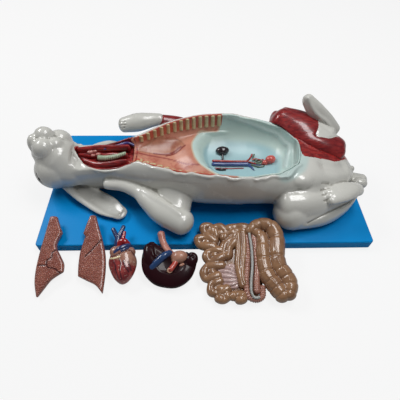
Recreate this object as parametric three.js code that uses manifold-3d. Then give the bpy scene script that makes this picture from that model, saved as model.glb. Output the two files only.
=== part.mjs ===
// Rabbit anatomy model: a life-size rabbit lying on its back on a board, opened along the neck,
// chest and belly, with five organ pieces lifted out and leant against the board's front edge.
// Millimetres. The origin is the centre of the board's underside, +X points from the nose to the
// tail, +Y away from the viewer (the animal's left side) and +Z up.

import * as THREE from 'three';
import { mergeVertices } from 'three/addons/utils/BufferGeometryUtils.js';
import Module from 'manifold-3d';

const wasm = await Module();
wasm.setup();

// Driving sizes of the board and of the fits.
const boardLength = 520;
const boardWidth = 250;
const boardThickness = 17;
const boardCornerRadius = 4;
const boardEdgeRound = 1.2;
const fitGap = 0.3;
const castGap = 0.6;

// Driving sizes of the animal.
const torsoLength = 455;
const torsoHalfWidth = 79;
const torsoHeight = 89;
const torsoMiddle = 12.5;
const torsoSideways = 5;
const rimLip = 5;
const liningWall = 2.5;
const neckLip = 3;

// Torso sections: along (share of the length), sideways shift (mm), half width, height of the widest
// line and rise of the closed crown above it (shares of the half width and of the height).
const torsoSections = [
  [-0.522, 0, 0.40, 0.46, 0.26],
  [-0.493, 0, 0.418, 0.43, 0.30],
  [-0.423, 0, 0.392, 0.371, 0.415],
  [-0.357, 0, 0.418, 0.371, 0.435],
  [-0.280, 0, 0.544, 0.416, 0.477],
  [-0.203, 0, 0.709, 0.438, 0.618],
  [-0.115, 0, 0.861, 0.472, 0.815],
  [-0.027, 0, 0.962, 0.494, 0.888],
  [0.071, 0, 1.0, 0.517, 0.876],
  [0.126, 0, 0.987, 0.506, 0.705],
  [0.181, -2, 0.962, 0.494, 0.567],
  [0.232, -6, 0.911, 0.483, 0.517],
  [0.280, -10, 0.835, 0.472, 0.437],
  [0.313, -12, 0.785, 0.449, 0.434],
  [0.357, -11, 0.709, 0.416, 0.404],
  [0.412, -8, 0.633, 0.371, 0.371],
  [0.467, -7, 0.481, 0.315, 0.303],
  [0.495, -7, 0.30, 0.27, 0.21],
];
const crownPower = 3;
const bellyPower = 2.1;
const footprintDepth = 6;

// Rim of the opening: along, and height above the board as a share of the torso's height.
const rimLine = [
  [-0.497, 0.71], [-0.423, 0.71], [-0.357, 0.73], [-0.280, 0.83], [-0.203, 0.92], [-0.115, 0.966],
  [-0.027, 1.0], [0.071, 0.978], [0.126, 0.93], [0.181, 0.905], [0.247, 0.89], [0.330, 0.885],
];

// Floors of the two cavities: along, and height above the board as a share of the torso's height.
const trunkFloor = [
  [-0.284, 0.697], [-0.247, 0.607], [-0.203, 0.562], [-0.159, 0.539], [-0.115, 0.528],
  [-0.071, 0.494], [-0.027, 0.427], [0.060, 0.382], [0.140, 0.382], [0.190, 0.393], [0.232, 0.449],
  [0.262, 0.551], [0.282, 0.674],
];
const neckFloor = [
  [-0.486, 0.584], [-0.45, 0.528], [-0.38, 0.506], [-0.32, 0.562], [-0.288, 0.629],
];

// Small helpers: closed meshes, lofts and tubes.

function toSolid(geometry) {
  const bare = geometry.index ? geometry.toNonIndexed() : geometry.clone();
  bare.deleteAttribute('normal');
  bare.deleteAttribute('uv');
  const merged = mergeVertices(bare, 1e-4);
  const positions = merged.attributes.position.array;
  const corners = Array.from(merged.index.array);
  const kept = [];
  for (let i = 0; i < corners.length; i += 3) {
    const [a, b, c] = corners.slice(i, i + 3);
    if (a !== b && b !== c && c !== a) kept.push(a, b, c);
  }
  if (signedVolume(positions, kept) < 0) kept.reverse();
  return new wasm.Manifold(new wasm.Mesh({
    numProp: 3,
    vertProperties: new Float32Array(positions),
    triVerts: new Uint32Array(kept),
  }));
}

function signedVolume(positions, corners) {
  const a = new THREE.Vector3();
  const b = new THREE.Vector3();
  const c = new THREE.Vector3();
  let total = 0;
  for (let i = 0; i < corners.length; i += 3) {
    a.fromArray(positions, corners[i] * 3);
    b.fromArray(positions, corners[i + 1] * 3);
    c.fromArray(positions, corners[i + 2] * 3);
    total += a.dot(b.cross(c)) / 6;
  }
  return total;
}

function toGeometry(solid) {
  const mesh = solid.getMesh();
  const geometry = new THREE.BufferGeometry();
  geometry.setAttribute('position', new THREE.BufferAttribute(mesh.vertProperties, 3));
  geometry.setIndex(new THREE.BufferAttribute(mesh.triVerts, 1));
  return geometry;
}

const joined = (...solids) => solids.reduce((sum, next) => sum.add(next));

// Cuts a solid clear of the makers named after it, each grown by the fit gap.
const clearOf = (solid, ...makers) => makers.reduce((rest, make) => rest.subtract(make(fitGap)), solid);

function block(low, high) {
  const size = high.map((value, axis) => value - low[axis]);
  const geometry = new THREE.BoxGeometry(...size);
  geometry.translate(...high.map((value, axis) => (value + low[axis]) / 2));
  return toSolid(geometry);
}

function ball(centre, radii, turn = [0, 0, 0], segments = 12) {
  const geometry = new THREE.SphereGeometry(1, segments, Math.round(segments * 0.6));
  geometry.scale(...radii);
  geometry.applyMatrix4(new THREE.Matrix4().makeRotationFromEuler(new THREE.Euler(...turn)));
  geometry.translate(...centre);
  return toSolid(geometry);
}

// A body lofted along a smooth path. Each section is [x, y, z, half width, depth below the path,
// rise above it]. The ends are domed, and grow thickens the whole body for clearances.
function loft(sections, options = {}) {
  const {
    sides = 10, steps = 2 * sections.length, domes = [8, 8], powers = [2, 2], grow = 0,
    up = [0, 0, 1], swell = () => 1,
  } = options;
  const path = new THREE.CatmullRomCurve3(sections.map((s) => new THREE.Vector3(s[0], s[1], s[2])));
  const sizes = new THREE.CatmullRomCurve3(
    sections.map((s) => new THREE.Vector3(s[3], s[4] ?? s[3], s[5] ?? s[4] ?? s[3])),
  );
  const upward = new THREE.Vector3(...up);
  const rings = [];
  const domeRings = 2;
  const addRing = (t, push, shrink) => {
    const along = path.getTangent(t);
    const side = upward.clone().cross(along).normalize();
    const top = along.clone().cross(side);
    const centre = path.getPoint(t).addScaledVector(along, push);
    const size = sizes.getPoint(t).multiplyScalar(swell(t)).addScalar(grow).multiplyScalar(shrink);
    rings.push({ centre, side, top, size });
  };
  for (let i = 0; i < domeRings; i += 1) {
    const turn = (Math.PI / 2) * (1 - i / domeRings);
    addRing(0, -(domes[0] + grow) * Math.sin(turn), Math.cos(turn));
  }
  for (let i = 0; i <= steps; i += 1) addRing(i / steps, 0, 1);
  for (let i = 1; i <= domeRings; i += 1) {
    const turn = (Math.PI / 2) * (i / domeRings);
    addRing(1, (domes[1] + grow) * Math.sin(turn), Math.cos(turn));
  }
  const form = new THREE.SphereGeometry(1, sides, rings.length - 1);
  const points = form.attributes.position;
  const bend = (value, power) => Math.sign(value) * Math.abs(value) ** (2 / power);
  for (let i = 0; i < points.count; i += 1) {
    const ring = rings[Math.floor(i / (sides + 1))];
    const pole = ring === rings[0] || ring === rings[rings.length - 1];
    const turn = (2 * Math.PI * ((i % (sides + 1)) % sides)) / sides;
    const power = Math.sin(turn) < 0 ? powers[0] : powers[1];
    const reach = pole ? 0 : ring.size.x * bend(Math.cos(turn), power);
    const height = Math.sin(turn) < 0 ? ring.size.y : ring.size.z;
    const rise = pole ? 0 : height * bend(Math.sin(turn), power);
    const place = ring.centre.clone().addScaledVector(ring.side, reach).addScaledVector(ring.top, rise);
    points.setXYZ(i, place.x, place.y, place.z);
  }
  return toSolid(form);
}

// A round tube with flat ends along a smooth path. Grow thickens and lengthens it for clearances.
function tube(points, radius, steps = 2 * points.length, sides = 7, grow = 0) {
  const outline = [];
  for (let i = 0; i < sides; i += 1) {
    const turn = (2 * Math.PI * i) / sides;
    outline.push(new THREE.Vector2(Math.cos(turn), Math.sin(turn)).multiplyScalar(radius + grow));
  }
  const spots = points.map((p) => new THREE.Vector3(...p));
  const stretched = (end, before) => end.clone().add(end.clone().sub(before).setLength(grow));
  if (grow > 0) {
    const last = spots.length - 1;
    const ends = [stretched(spots[0], spots[1]), stretched(spots[last], spots[last - 1])];
    spots[0] = ends[0];
    spots[last] = ends[1];
  }
  const path = new THREE.CatmullRomCurve3(spots);
  const settings = { steps, extrudePath: path, bevelEnabled: false };
  return toSolid(new THREE.ExtrudeGeometry(new THREE.Shape(outline), settings));
}

// A plate with a smooth outline and rounded edges, lying on z = base.
function slab(outline, base, thickness, round, perSpan = 1) {
  const shape = new THREE.Shape();
  const [first, ...rest] = outline.map((p) => new THREE.Vector2(...p));
  shape.moveTo(first.x, first.y);
  shape.splineThru([...rest, first]);
  const geometry = new THREE.ExtrudeGeometry(shape, {
    depth: thickness - 2 * round, bevelThickness: round, bevelSize: round, bevelOffset: -round,
    bevelSegments: 2, curveSegments: perSpan,
  });
  geometry.translate(0, 0, base + round);
  return toSolid(geometry);
}

const shifted = (anchor, offsets) => offsets.map(([x, y, z, ...sizes]) => [
  anchor[0] + x, anchor[1] + y, anchor[2] + z, ...sizes,
]);

// Straight-line reading of a table of [along, value] pairs.
function readTable(table, along, column = 1) {
  const last = table.length - 1;
  if (along <= table[0][0]) return table[0][column];
  for (let i = 1; i <= last; i += 1) {
    const [from, to] = [table[i - 1], table[i]];
    if (along <= to[0]) {
      return from[column] + ((along - from[0]) / (to[0] - from[0])) * (to[column] - from[column]);
    }
  }
  return table[last][column];
}

// The torso's shape, read at any place along it.
const torsoX = (along) => torsoMiddle + along * torsoLength;
const torsoY = (along) => torsoSideways + readTable(torsoSections, along, 1);
const torsoSide = (along) => torsoHalfWidth * readTable(torsoSections, along, 2);
const widestHeight = (along) => torsoHeight * readTable(torsoSections, along, 3);
const crownRise = (along) => torsoHeight * readTable(torsoSections, along, 4);
const rimHeight = (along) => torsoHeight * readTable(rimLine, along);
const onTorso = (along, aside, height) => [
  torsoX(along), torsoY(along) + aside * torsoSide(along), height * torsoHeight,
];

// Half width of the opening where the rim plane cuts the closed torso.
function openingHalfWidth(along) {
  const share = (rimHeight(along) - widestHeight(along)) / crownRise(along);
  return torsoSide(along) * Math.max(0, 1 - Math.max(0, share) ** crownPower) ** (1 / crownPower);
}

function torsoBody(grow = 0) {
  const sections = torsoSections.map(([along, shift, side, widest, crown]) => [
    torsoX(along), torsoSideways + shift, widest * torsoHeight,
    side * torsoHalfWidth, widest * torsoHeight + footprintDepth, crown * torsoHeight,
  ]);
  return loft(sections, { sides: 20, steps: 18, domes: [6, 8], powers: [bellyPower, crownPower], grow });
}

// A side view outline of [x, z] points, carried right across the torso.
function acrossTorso(outline) {
  const shape = new THREE.Shape(outline.map(([x, z]) => new THREE.Vector2(x, z)));
  const width = 4 * torsoHalfWidth;
  const geometry = new THREE.ExtrudeGeometry(shape, { depth: width, bevelEnabled: false });
  geometry.rotateX(Math.PI / 2);
  geometry.translate(0, torsoSideways + width / 2, 0);
  return toSolid(geometry);
}

// Everything above the rim, between the throat and the groin.
function lidSpace() {
  const top = 3 * torsoHeight;
  const edge = rimLine.map(([along, height]) => [torsoX(along), height * torsoHeight]);
  return acrossTorso([...edge, [edge[edge.length - 1][0], top], [edge[0][0], top]]);
}

// A cavity has a rounded floor and opens wide above the rim.
const narrowestCavity = 6;
const cavityOverRim = 25;
const floorPower = 2.6;
const trunk = { floor: trunkFloor, lip: rimLip, sides: 16, steps: 11, domes: [5, 7] };
const neck = { floor: neckFloor, lip: neckLip, sides: 10, steps: 5, domes: [5, 6] };
const cavityHalfWidth = (along, lip) => Math.max(narrowestCavity, openingHalfWidth(along) - lip);

const floorHeight = (along, floor) => torsoHeight * readTable(floor, along);

function cavity({ floor, lip, sides, steps, domes }, grow) {
  const sections = floor.map(([along]) => [
    torsoX(along), torsoY(along), rimHeight(along),
    cavityHalfWidth(along, lip), rimHeight(along) - floorHeight(along, floor), cavityOverRim,
  ]);
  return loft(sections, { sides, steps, domes, powers: [floorPower, 6], grow });
}
const trunkCavity = (grow) => cavity(trunk, grow);
const neckCavity = (grow) => cavity(neck, grow);

// A point on a cavity's floor, some way to the side of its middle line.
function onFloor(along, aside, lift, room = trunk) {
  const share = Math.min(0.98, Math.abs(aside) / cavityHalfWidth(along, room.lip));
  const depth = rimHeight(along) - floorHeight(along, room.floor);
  const drop = depth * (1 - share ** floorPower) ** (1 / floorPower);
  return [torsoX(along), torsoY(along) + aside, rimHeight(along) - drop + lift];
}

const farBound = 600;
const aboveBoard = block([-farBound, -farBound, 0], [farBound, farBound, farBound]);
const lid = lidSpace();
const papilla = ball([torsoX(0.508), onTorso(0.495, 0, 0)[1] - 6, 41], [5, 5, 6], [0, 0, 0], 6);
const torsoClosed = torsoBody().add(papilla);
const torsoGrown = torsoBody(castGap);
const trunkSpace = trunkCavity(-fitGap);
const neckSpace = neckCavity(-fitGap);
const trunkLiningOuter = trunkCavity(liningWall);
const neckLiningOuter = neckCavity(liningWall);

// The torso casting, with its two cavities and its rim.
function makeTorsoShell() {
  const cavities = joined(trunkCavity(liningWall + castGap), neckCavity(liningWall + castGap));
  return torsoClosed.intersect(aboveBoard).subtract(lid).subtract(cavities);
}

// Painted linings of the cavities.
const diaphragmAlong = -0.071;
const diaphragmRadius = 62;
const diaphragmWall = 2.5;
const diaphragmSlope = 42;
const diaphragmFoot = 2;
const diaphragmTail = 0.42;
const diaphragmCrest = 0.66;
const splitX = torsoX(diaphragmAlong) + 14;

const lined = (outer, inner) => outer.subtract(inner).subtract(lid).intersect(aboveBoard);
const trunkLining = lined(trunkLiningOuter, trunkCavity(0)).subtract(neckCavity(fitGap));
const headSide = block([-farBound, -farBound, -1], [splitX - fitGap / 2, farBound, farBound]);
const tailSide = block([splitX + fitGap / 2, -farBound, -1], [farBound, farBound, farBound]);
const neckLining = lined(neckLiningOuter, neckCavity(0)).intersect(torsoClosed)
  .subtract(trunkCavity(liningWall + castGap));

// The diaphragm: it rises from the chest's floor to a crest and falls away as a dome behind it.
function makeDiaphragm() {
  const domeX = torsoX(diaphragmAlong);
  const centre = [domeX + diaphragmRadius, torsoSideways, widestHeight(diaphragmAlong)];
  const radii = [diaphragmRadius, diaphragmRadius * 1.25, diaphragmRadius * 1.1];
  const hollow = ball(centre, radii, [0, 0, 0], 20);
  const crest = diaphragmCrest * torsoHeight;
  const foot = domeX - diaphragmSlope;
  const tail = domeX + diaphragmTail * diaphragmRadius;
  const ramp = acrossTorso([
    [foot, 0], [tail, 0], [tail, crest], [domeX - diaphragmWall, crest],
    [foot, floorHeight(diaphragmAlong, trunkFloor) + diaphragmFoot],
  ]);
  return ramp.intersect(trunkSpace).subtract(hollow);
}

// Rib cage: a band on each side wall with thirteen ribs standing out of it.
const ribCount = 13;
const ribPitch = 10.8;
const ribWidth = 5.5;
const ribStand = 1.6;
const ribBand = 1.2;
const firstRibAlong = -0.262;
const ribFoot = 0.675;
const ribBandFoot = 0.70;

function makeRibs(side) {
  const startX = torsoX(firstRibAlong);
  const endX = startX + (ribCount - 1) * ribPitch + ribWidth + 2;
  const band = trunkSpace.subtract(trunkCavity(-fitGap - ribBand));
  const relief = trunkSpace.subtract(trunkCavity(-fitGap - ribBand - ribStand));
  const edge = torsoSideways + side * 12;
  const [near, far] = [edge, edge + side * farBound].sort((a, b) => a - b);
  const region = (low, high, foot) => block([low, near, foot * torsoHeight], [high, far, farBound]);
  let ribs = band.intersect(region(startX - 2, endX, ribBandFoot));
  for (let i = 0; i < ribCount; i += 1) {
    const x = startX + i * ribPitch;
    ribs = ribs.add(relief.intersect(region(x, x + ribWidth, ribFoot)));
  }
  return ribs.subtract(lid);
}

const whole = (sections, options) => loft(sections, options).intersect(aboveBoard);
const bodySide = { right: -1, left: 1 };

// Head, thrown back with its chin up. Sections are measured from the throat.
const throat = [torsoX(-0.4725), torsoSideways, 0];
const headWidth = 39;

const headPart = (sections, options) => whole(shifted(throat, sections), options);

function headBody(grow = 0) {
  const skull = headPart([
    [6, 0, 34, 30, 30, 27],
    [-10, 0, 37, 36, 34, 32],
    [-26, 2, 43, headWidth, 38, 34],
    [-40, 4, 56, 36, 34, 33],
    [-51, 6, 69, 29, 27, 28],
    [-60, 8, 80, 21, 21, 21],
  ], { sides: 12, steps: 6, domes: [8, 13], grow });
  const chin = ball([throat[0] - 43, throat[1] + 11, 94], [15, 17, 15], [0, 0.5, 0], 8);
  const pad = ball([throat[0] - 57, throat[1] - 3, 84], [14, 15, 15], [0, 0, 0], 8);
  const farPad = ball([throat[0] - 54, throat[1] + 20, 87], [14, 15, 15], [0, 0, 0], 8);
  const jaw = ball([throat[0] - 28, throat[1] + 24, 68], [20, 18, 20], [0, 0, 0], 8);
  return joined(skull, chin, pad, farPad, jaw).subtract(lid);
}

const eyeRadius = 7;
const eyeSunk = 0.45;
const eyePlaces = { right: [-47, -24, 44], left: [-43, 34, 46] };
const eyeCentre = (side) => throat.map((value, axis) => value + eyePlaces[side][axis]);

function makeHead() {
  const sockets = ['right', 'left'].map((side) => {
    const radius = eyeRadius + fitGap;
    return ball(eyeCentre(side), [radius, radius, radius], [0, 0, 0], 8);
  });
  return sockets.reduce((head, socket) => head.subtract(socket), headBody().subtract(torsoGrown));
}

// Ears, lying on the board beside the head.
const earLength = 116;
const earHalfWidth = 20;
const earThickness = 9;
const earHollow = 5;

function makeEar(side) {
  const root = [throat[0] - 26, throat[1] + side * 19, 14];
  const lean = (share, reach, rise, width, thick) => [
    root[0] + 0.85 * reach * earLength, root[1] + side * 0.53 * reach * earLength, root[2] + rise,
    width * earHalfWidth, 0.5 * thick * earThickness, 0.5 * thick * earThickness,
  ];
  const leaf = loft([
    lean(0, 0, 0, 0.65, 1.6), lean(0, 0.3, -3, 0.92, 1.2), lean(0, 0.66, -5.5, 1, 1),
    lean(0, 0.92, -7.5, 0.6, 0.8),
  ], { steps: 5, sides: 8, domes: [6, 8] });
  const scoop = loft([
    lean(0, 0.26, 4.5, 0.4, 1), lean(0, 0.5, 2, 0.66, 1.1), lean(0, 0.74, 0, 0.62, 1.1),
    lean(0, 0.9, -2.5, 0.3, 0.7),
  ], { steps: 3, sides: 6, domes: [6, 4] });
  return leaf.intersect(aboveBoard).subtract(scoop).subtract(headBody(castGap)).subtract(torsoGrown);
}

// Limbs. Each is a chain of sections measured from the joint that carries it.
const rightShoulder = onTorso(-0.126, -0.86, 0.506);
const leftShoulder = onTorso(-0.126, 0.70, 0.60);
const rightHip = onTorso(0.412, -0.24, 0.48);
const leftHip = onTorso(0.412, 0.66, 0.50);

function makeRightForeleg() {
  const upper = whole(shifted(rightShoulder, [
    [-2, 10, 0, 34, 24], [-2, -16, -11, 30, 21], [8, -45, -25, 19, 20],
  ]), { steps: 4, domes: [8, 12] });
  const lower = whole(shifted(rightShoulder, [
    [9, -46, -25, 18, 20], [-21, -26, -19, 18, 19], [-44, -7, -14, 15, 15], [-60, 6, -12, 12.5, 12],
    [-84, 17, -10, 12.5, 10], [-112, 20, -10, 10, 8],
  ]), { steps: 7, domes: [16, 7] });
  return upper.add(lower).subtract(torsoGrown);
}

function makeLeftForeleg() {
  const upper = whole(shifted(leftShoulder, [
    [0, 0, -6, 26, 26], [12, 26, -16, 25, 25], [22, 50, -25, 20, 22],
  ]), { steps: 4, domes: [8, 14] });
  const lower = whole(shifted(leftShoulder, [
    [22, 48, -22, 18, 20], [-4, 48, -8, 16, 16], [-30, 45, 3, 12, 12],
  ]), { steps: 4, domes: [8, 5] });
  const paw = loft(shifted(leftShoulder, [
    [-24, 45, 2, 12, 12], [-45, 43, 4, 14, 14], [-75, 39, 4, 16.5, 16.5], [-97, 36, 2, 14, 13],
  ]), { steps: 6, domes: [4, 9] });
  const cuff = leftShoulder[0] - 33;
  const pawSide = block([-farBound, -farBound, 0], [cuff - fitGap, farBound, farBound]);
  const legSide = block([cuff, -farBound, 0], [farBound, farBound, farBound]);
  return {
    muscles: upper.add(lower).subtract(torsoGrown).intersect(legSide),
    paw: paw.intersect(pawSide).subtract(torsoGrown),
  };
}

function rightHindFootBody(grow = 0) {
  const foot = loft(shifted(rightHip, [
    [50, -22, -13, 12, 11], [34, -28, -6, 15, 9], [10, -36, -1, 15.5, 8], [-10, -42, 2, 13, 7],
  ]), { steps: 4, domes: [8, 6], grow });
  return foot;
}

function makeRightHindLeg() {
  const thigh = whole(shifted(rightHip, [
    [6, 6, -8, 34, 34], [-28, -24, -4, 38, 40], [-58, -48, -5, 37, 40], [-76, -64, -12, 28, 30],
  ]), { steps: 4, domes: [16, 16], sides: 12 });
  const shin = whole(shifted(rightHip, [
    [-70, -66, -25, 24, 24], [-18, -58, -28, 20, 20], [14, -42, -26, 16, 16], [44, -24, -24, 12, 12],
  ]), { steps: 4, domes: [12, 8] });
  return thigh.add(shin).subtract(torsoGrown).subtract(rightHindFootBody(castGap));
}

function leftHindFootBody(grow = 0) {
  const ankle = loft(shifted(leftHip, [
    [-4, 30, 17, 13, 13], [12, 28, 19, 13, 13], [20, 28, 21, 13, 13],
  ]), { steps: 2, domes: [4, 8], grow });
  const foot = loft(shifted(leftHip, [
    [19, 28, 21, 16, 11], [3, 34, 38, 16, 10], [-15, 41, 55, 14.5, 9], [-31, 50, 71, 10, 7],
  ]), { steps: 4, domes: [9, 7], grow, up: [0, -1, 0] });
  return ankle.add(foot);
}

function makeLeftHindLeg() {
  const thigh = whole(shifted(leftHip, [
    [14, -6, -6, 34, 38], [-34, 22, 12, 37, 38], [-70, 48, 27, 25, 26],
  ]), { steps: 4, domes: [20, 14], sides: 12 });
  const shin = whole(shifted(leftHip, [
    [-74, 54, 20, 19, 20], [-34, 50, 22, 19, 20], [-12, 36, 18, 14, 14], [-4, 30, 17, 12, 12],
  ]), { steps: 4, domes: [10, 4] });
  return thigh.add(shin).subtract(torsoGrown).subtract(leftHindFootBody(castGap));
}

function makeTail() {
  const root = onTorso(0.486, -0.06, 0.18);
  return whole(shifted(root, [[0, 0, 0, 14, 13], [24, -4, -3, 14, 13], [40, -9, -4, 12, 11]]), {
    steps: 5, domes: [6, 9],
  }).subtract(torsoGrown);
}

// What lies on the floors of the cavities. Each piece dips into the lining and is trimmed clear.
const bedded = (solid) => solid.intersect(trunkSpace);

const aortaRadius = 2.6;
const cavaRadius = 3.2;
const cavaPath = [[0.005, 2], [0.04, 3], [0.08, 3], [0.13, 3]].map(([a, y]) => onFloor(a, y, 2.4));
const aortaPath = [[0.005, 10], [0.04, 10.5], [0.08, 10], [0.13, 10]].map(([a, y]) => onFloor(a, y, 1.8));
const makeAorta = () => bedded(tube(aortaPath, aortaRadius, 6));
const makeVenaCava = () => bedded(tube(cavaPath, cavaRadius, 6));

const kidneyHalf = [11.5, 8, 6.5];
const kidneyStalk = 2;
function makeLeftKidney() {
  const along = 0.042;
  const centre = onFloor(along, 32, 4);
  const body = ball(centre, kidneyHalf, [0, 0, 0.1], 9);
  const hilum = ball([centre[0], centre[1] - 10, centre[2]], [3, 4, 9], [0, 0, 0], 8);
  const stalk = tube([centre, onFloor(along, 15, 3)], kidneyStalk, 3);
  return bedded(body.subtract(hilum).add(stalk));
}

// The right kidney is sunk in the floor, with its long edge showing.
const rightKidneyHalf = [10, 2.8, 5];
const makeRightKidney = () => bedded(ball(onFloor(0.03, -8.5, -1), rightKidneyHalf, [0, 0, 0.05], 9));

const bladderHalf = [11, 9, 8];
const bladderAlong = 0.215;
const bladderAside = 13;
const makeBladder = (grow = 0) => bedded(
  ball(onFloor(bladderAlong, bladderAside, 5), bladderHalf.map((r) => r + grow), [0, 0, -0.3], 9),
);

const hornMiddle = 9;
const hornSpread = 12;
const hornTurn = 0.052;
const hornRadius = 2.1;
const hornReach = 0.064;

// The two uterine horns and ovaries on the female tract in front of the bladder.
function makeUterus() {
  const uterusNeck = onFloor(bladderAlong - 0.03, bladderAside - 1, 2);
  const hornEnd = (side, lift) => onFloor(bladderAlong - hornReach, hornMiddle + side * hornSpread, lift);
  const hornBend = (side) => onFloor(bladderAlong - hornTurn, hornMiddle + side * hornSpread / 2, 3);
  const horn = (side) => tube([uterusNeck, hornBend(side), hornEnd(side, 2)], hornRadius, 3, 5);
  const ovary = (side) => ball(hornEnd(side, 2.5), [4.2, 3.2, 3], [0, 0, 0], 6);
  const tract = joined(
    ball(uterusNeck, [7, 4.5, 4], [0, 0, 0.5], 7), horn(1), horn(-1), ovary(1), ovary(-1),
  );
  return clearOf(bedded(tract), makeBladder);
}

// Throat: windpipe, muscle strands, jugular vein and a gland on the neck's floor.
const inNeck = (along, aside, lift) => onFloor(along, aside, lift, neck);
const throatBedded = (solid) => solid.intersect(neckSpace);
const windpipeRadius = 4.6;
const windpipeRings = 9;

function makeWindpipe(grow = 0) {
  const swell = (t) => 1 + 0.1 * Math.cos(2 * Math.PI * windpipeRings * t);
  return throatBedded(loft(
    [[-0.44, -6, 7], [-0.40, -6, 6], [-0.35, -5, 6], [-0.31, -4, 5]].map(([a, y, z]) => [
      ...inNeck(a, y, z), windpipeRadius, windpipeRadius, windpipeRadius,
    ]),
    { sides: 7, steps: 2 * windpipeRings, domes: [3, 1], swell, grow },
  ));
}

function neckStrand(aside, lift, width, rise, from = -0.47, to = -0.302) {
  return throatBedded(loft([
    [...inNeck(from, aside * 0.5, lift), width * 0.5, rise, rise],
    [...inNeck((from + to) / 2, aside, lift), width, rise, rise],
    [...inNeck(to, aside * 0.8, lift), width * 0.8, rise, rise],
  ], { sides: 7, steps: 4, domes: [4, 2] }));
}

const makeJugular = (grow = 0) => throatBedded(tube(
  [inNeck(-0.40, 9, 9), inNeck(-0.36, 10, 8.4), inNeck(-0.31, 9, 7)], 2.6, 7, 7, grow,
));
const makeGland = (grow = 0) => throatBedded(
  ball(inNeck(-0.445, 5, 6), [8 + grow, 4.5 + grow, 5 + grow], [0, 0, 0.2], 8),
);

// Organs lifted out. Each rests on its own lean: its foot on the table, its back on the board's edge.
const organs = {
  left_lung: { x: -237, run: 74 },
  right_lung: { x: -166, run: 74 },
  heart: { x: -122, run: 63 },
  liver: { x: -58, run: 63 },
  intestines: { x: 55, run: 93 },
};
const leanOf = (run) => Math.atan2(boardThickness, run);

// The space clear of the table and of the board's edge, seen from a piece that leans there.
function leaningSpace({ run }) {
  const front = -boardWidth / 2 - fitGap;
  const table = block([-farBound, -farBound, fitGap], [farBound, farBound, farBound]);
  const board = block([-farBound, front, -farBound], [farBound, farBound, boardThickness + fitGap]);
  return table.subtract(board).translate([0, boardWidth / 2 + run, 0])
    .rotate([-THREE.MathUtils.radToDeg(leanOf(run)), 0, 0]);
}
const heartSpace = leaningSpace(organs.heart);
const bowelSpace = leaningSpace(organs.intestines);

const lungThickness = 11;
const lungRound = 3.5;
const makeLung = (points) => slab(points, fitGap, lungThickness, lungRound);
const leftLungOutline = [
  [-4, -2], [-13, 31], [-13, 61], [-8, 98], [-6, 120], [5, 119], [18, 94], [12, 75], [28, 47],
  [27, 32], [11, 21],
];
const rightLungOutline = [
  [16, 0], [18, 40], [11, 73], [2, 101], [-6, 122], [-14, 123], [-17, 111], [-21, 93], [-16, 85],
  [-23, 59], [-21, 29], [3, 18],
];

const heartLength = 64;
const heartHalfWidth = 21;
const inHeart = (solid) => solid.intersect(heartSpace);

function heartBody() {
  const middle = -3;
  const trunk = ball([middle, 66, 8], [10, 12, 9.5], [0, 0, 0], 10);
  return inHeart(trunk.add(loft([
    [middle + 1, 8, 6, 6, 8, 8],
    [middle + 1, 0.25 * heartLength, 10, 0.72 * heartHalfWidth, 12, 12],
    [middle, 0.5 * heartLength, 11, heartHalfWidth, 14, 14],
    [middle - 1, 0.76 * heartLength, 12, 0.8 * heartHalfWidth, 13, 13],
    [middle - 1, 0.9 * heartLength, 12, 0.5 * heartHalfWidth, 12, 10],
  ], { sides: 10, steps: 5, domes: [6, 5] })));
}
const outflow = [[-10, 46, 20], [-4, 52, 22], [3, 57, 20], [8, 62, 16]];
const pulmonaryArtery = (grow = 0) => inHeart(tube(outflow, 4.2, 6, 7, grow));
const aortaArch = [[-10, 54, 13], [-7, 64, 16], [-1, 68, 17], [7, 63, 14]];
const archRadius = 4.6;
function heartAorta(grow = 0) {
  return joined(
    tube(aortaArch, archRadius, 6, 7, grow),
    tube([[-3, 66, 16], [-1, 76, 16], [0, 84, 15]], 2.4, 3, 6, grow),
    tube([[-6, 64, 15], [-6, 74, 16], [-7, 80, 16]], 2.2, 3, 6, grow),
  );
}
function heartVeins(grow = 0) {
  return joined(
    tube([[-12, 52, 12], [-13, 66, 13], [-12, 75, 13]], 3.2, 4, 6, grow),
    tube([[-12, 73, 13], [-17, 80, 13], [-21, 84, 12]], 2.4, 3, 6, grow),
    tube([[-12, 73, 13], [-8, 84, 12], [-4, 91, 11]], 2.4, 3, 6, grow),
  );
}
const makeAuricles = () => inHeart(joined(
  ball([-16, 47, 14], [9, 9, 9], [0, 0, 0.4], 7), ball([11, 48, 13], [8, 10, 8], [0, 0, -0.3], 7),
));

const liverOutline = [
  [-37, 35], [-36, 49], [-31, 61], [-25, 66], [-18, 65], [-8, 57], [4, 49], [14, 45], [24, 49],
  [33, 49], [43, 38], [42, 21], [35, 9], [24, 1], [9, -3], [-4, -2], [-18, 6], [-29, 16], [-35, 26],
];
const liverThickness = 15;
function makeLiver() {
  const slabBody = slab(liverOutline, fitGap, liverThickness, 5);
  const dish = ball([4, 29, liverThickness + 8], [31, 24, 14], [0, 0, 0], 11);
  const lobe = ball([-24, 47, liverThickness - 2], [12, 20, 7], [0, 0, 0.25], 8);
  const rightLobe = ball([34, 37, liverThickness - 3], [9, 17, 7], [0, 0, -0.5], 8);
  return joined(slabBody.subtract(dish), lobe, rightLobe);
}
const stomachBody = (grow = 0) => ball([18, 38, 13], [11 + grow, 8 + grow, 8 + grow], [0, 0, 0.2], 9);
const gallbladderBody = (grow = 0) => ball([23, 28, 12], [8 + grow, 5 + grow, 5 + grow], [0, 0, 0.1], 8);
const pylorusRadius = 4.6;
const pylorusBore = 1.9;
const pylorusEnd = [3, 21, 19];
const pylorusBody = (grow = 0) => tube([[15, 37, 14], [9, 29, 17], pylorusEnd], pylorusRadius, 5, 8, grow);
const makePylorus = () => pylorusBody()
  .subtract(tube([[8, 28, 17.5], pylorusEnd, [0, 17, 20]], pylorusBore, 3, 8))
  .subtract(stomachBody(fitGap));
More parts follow.
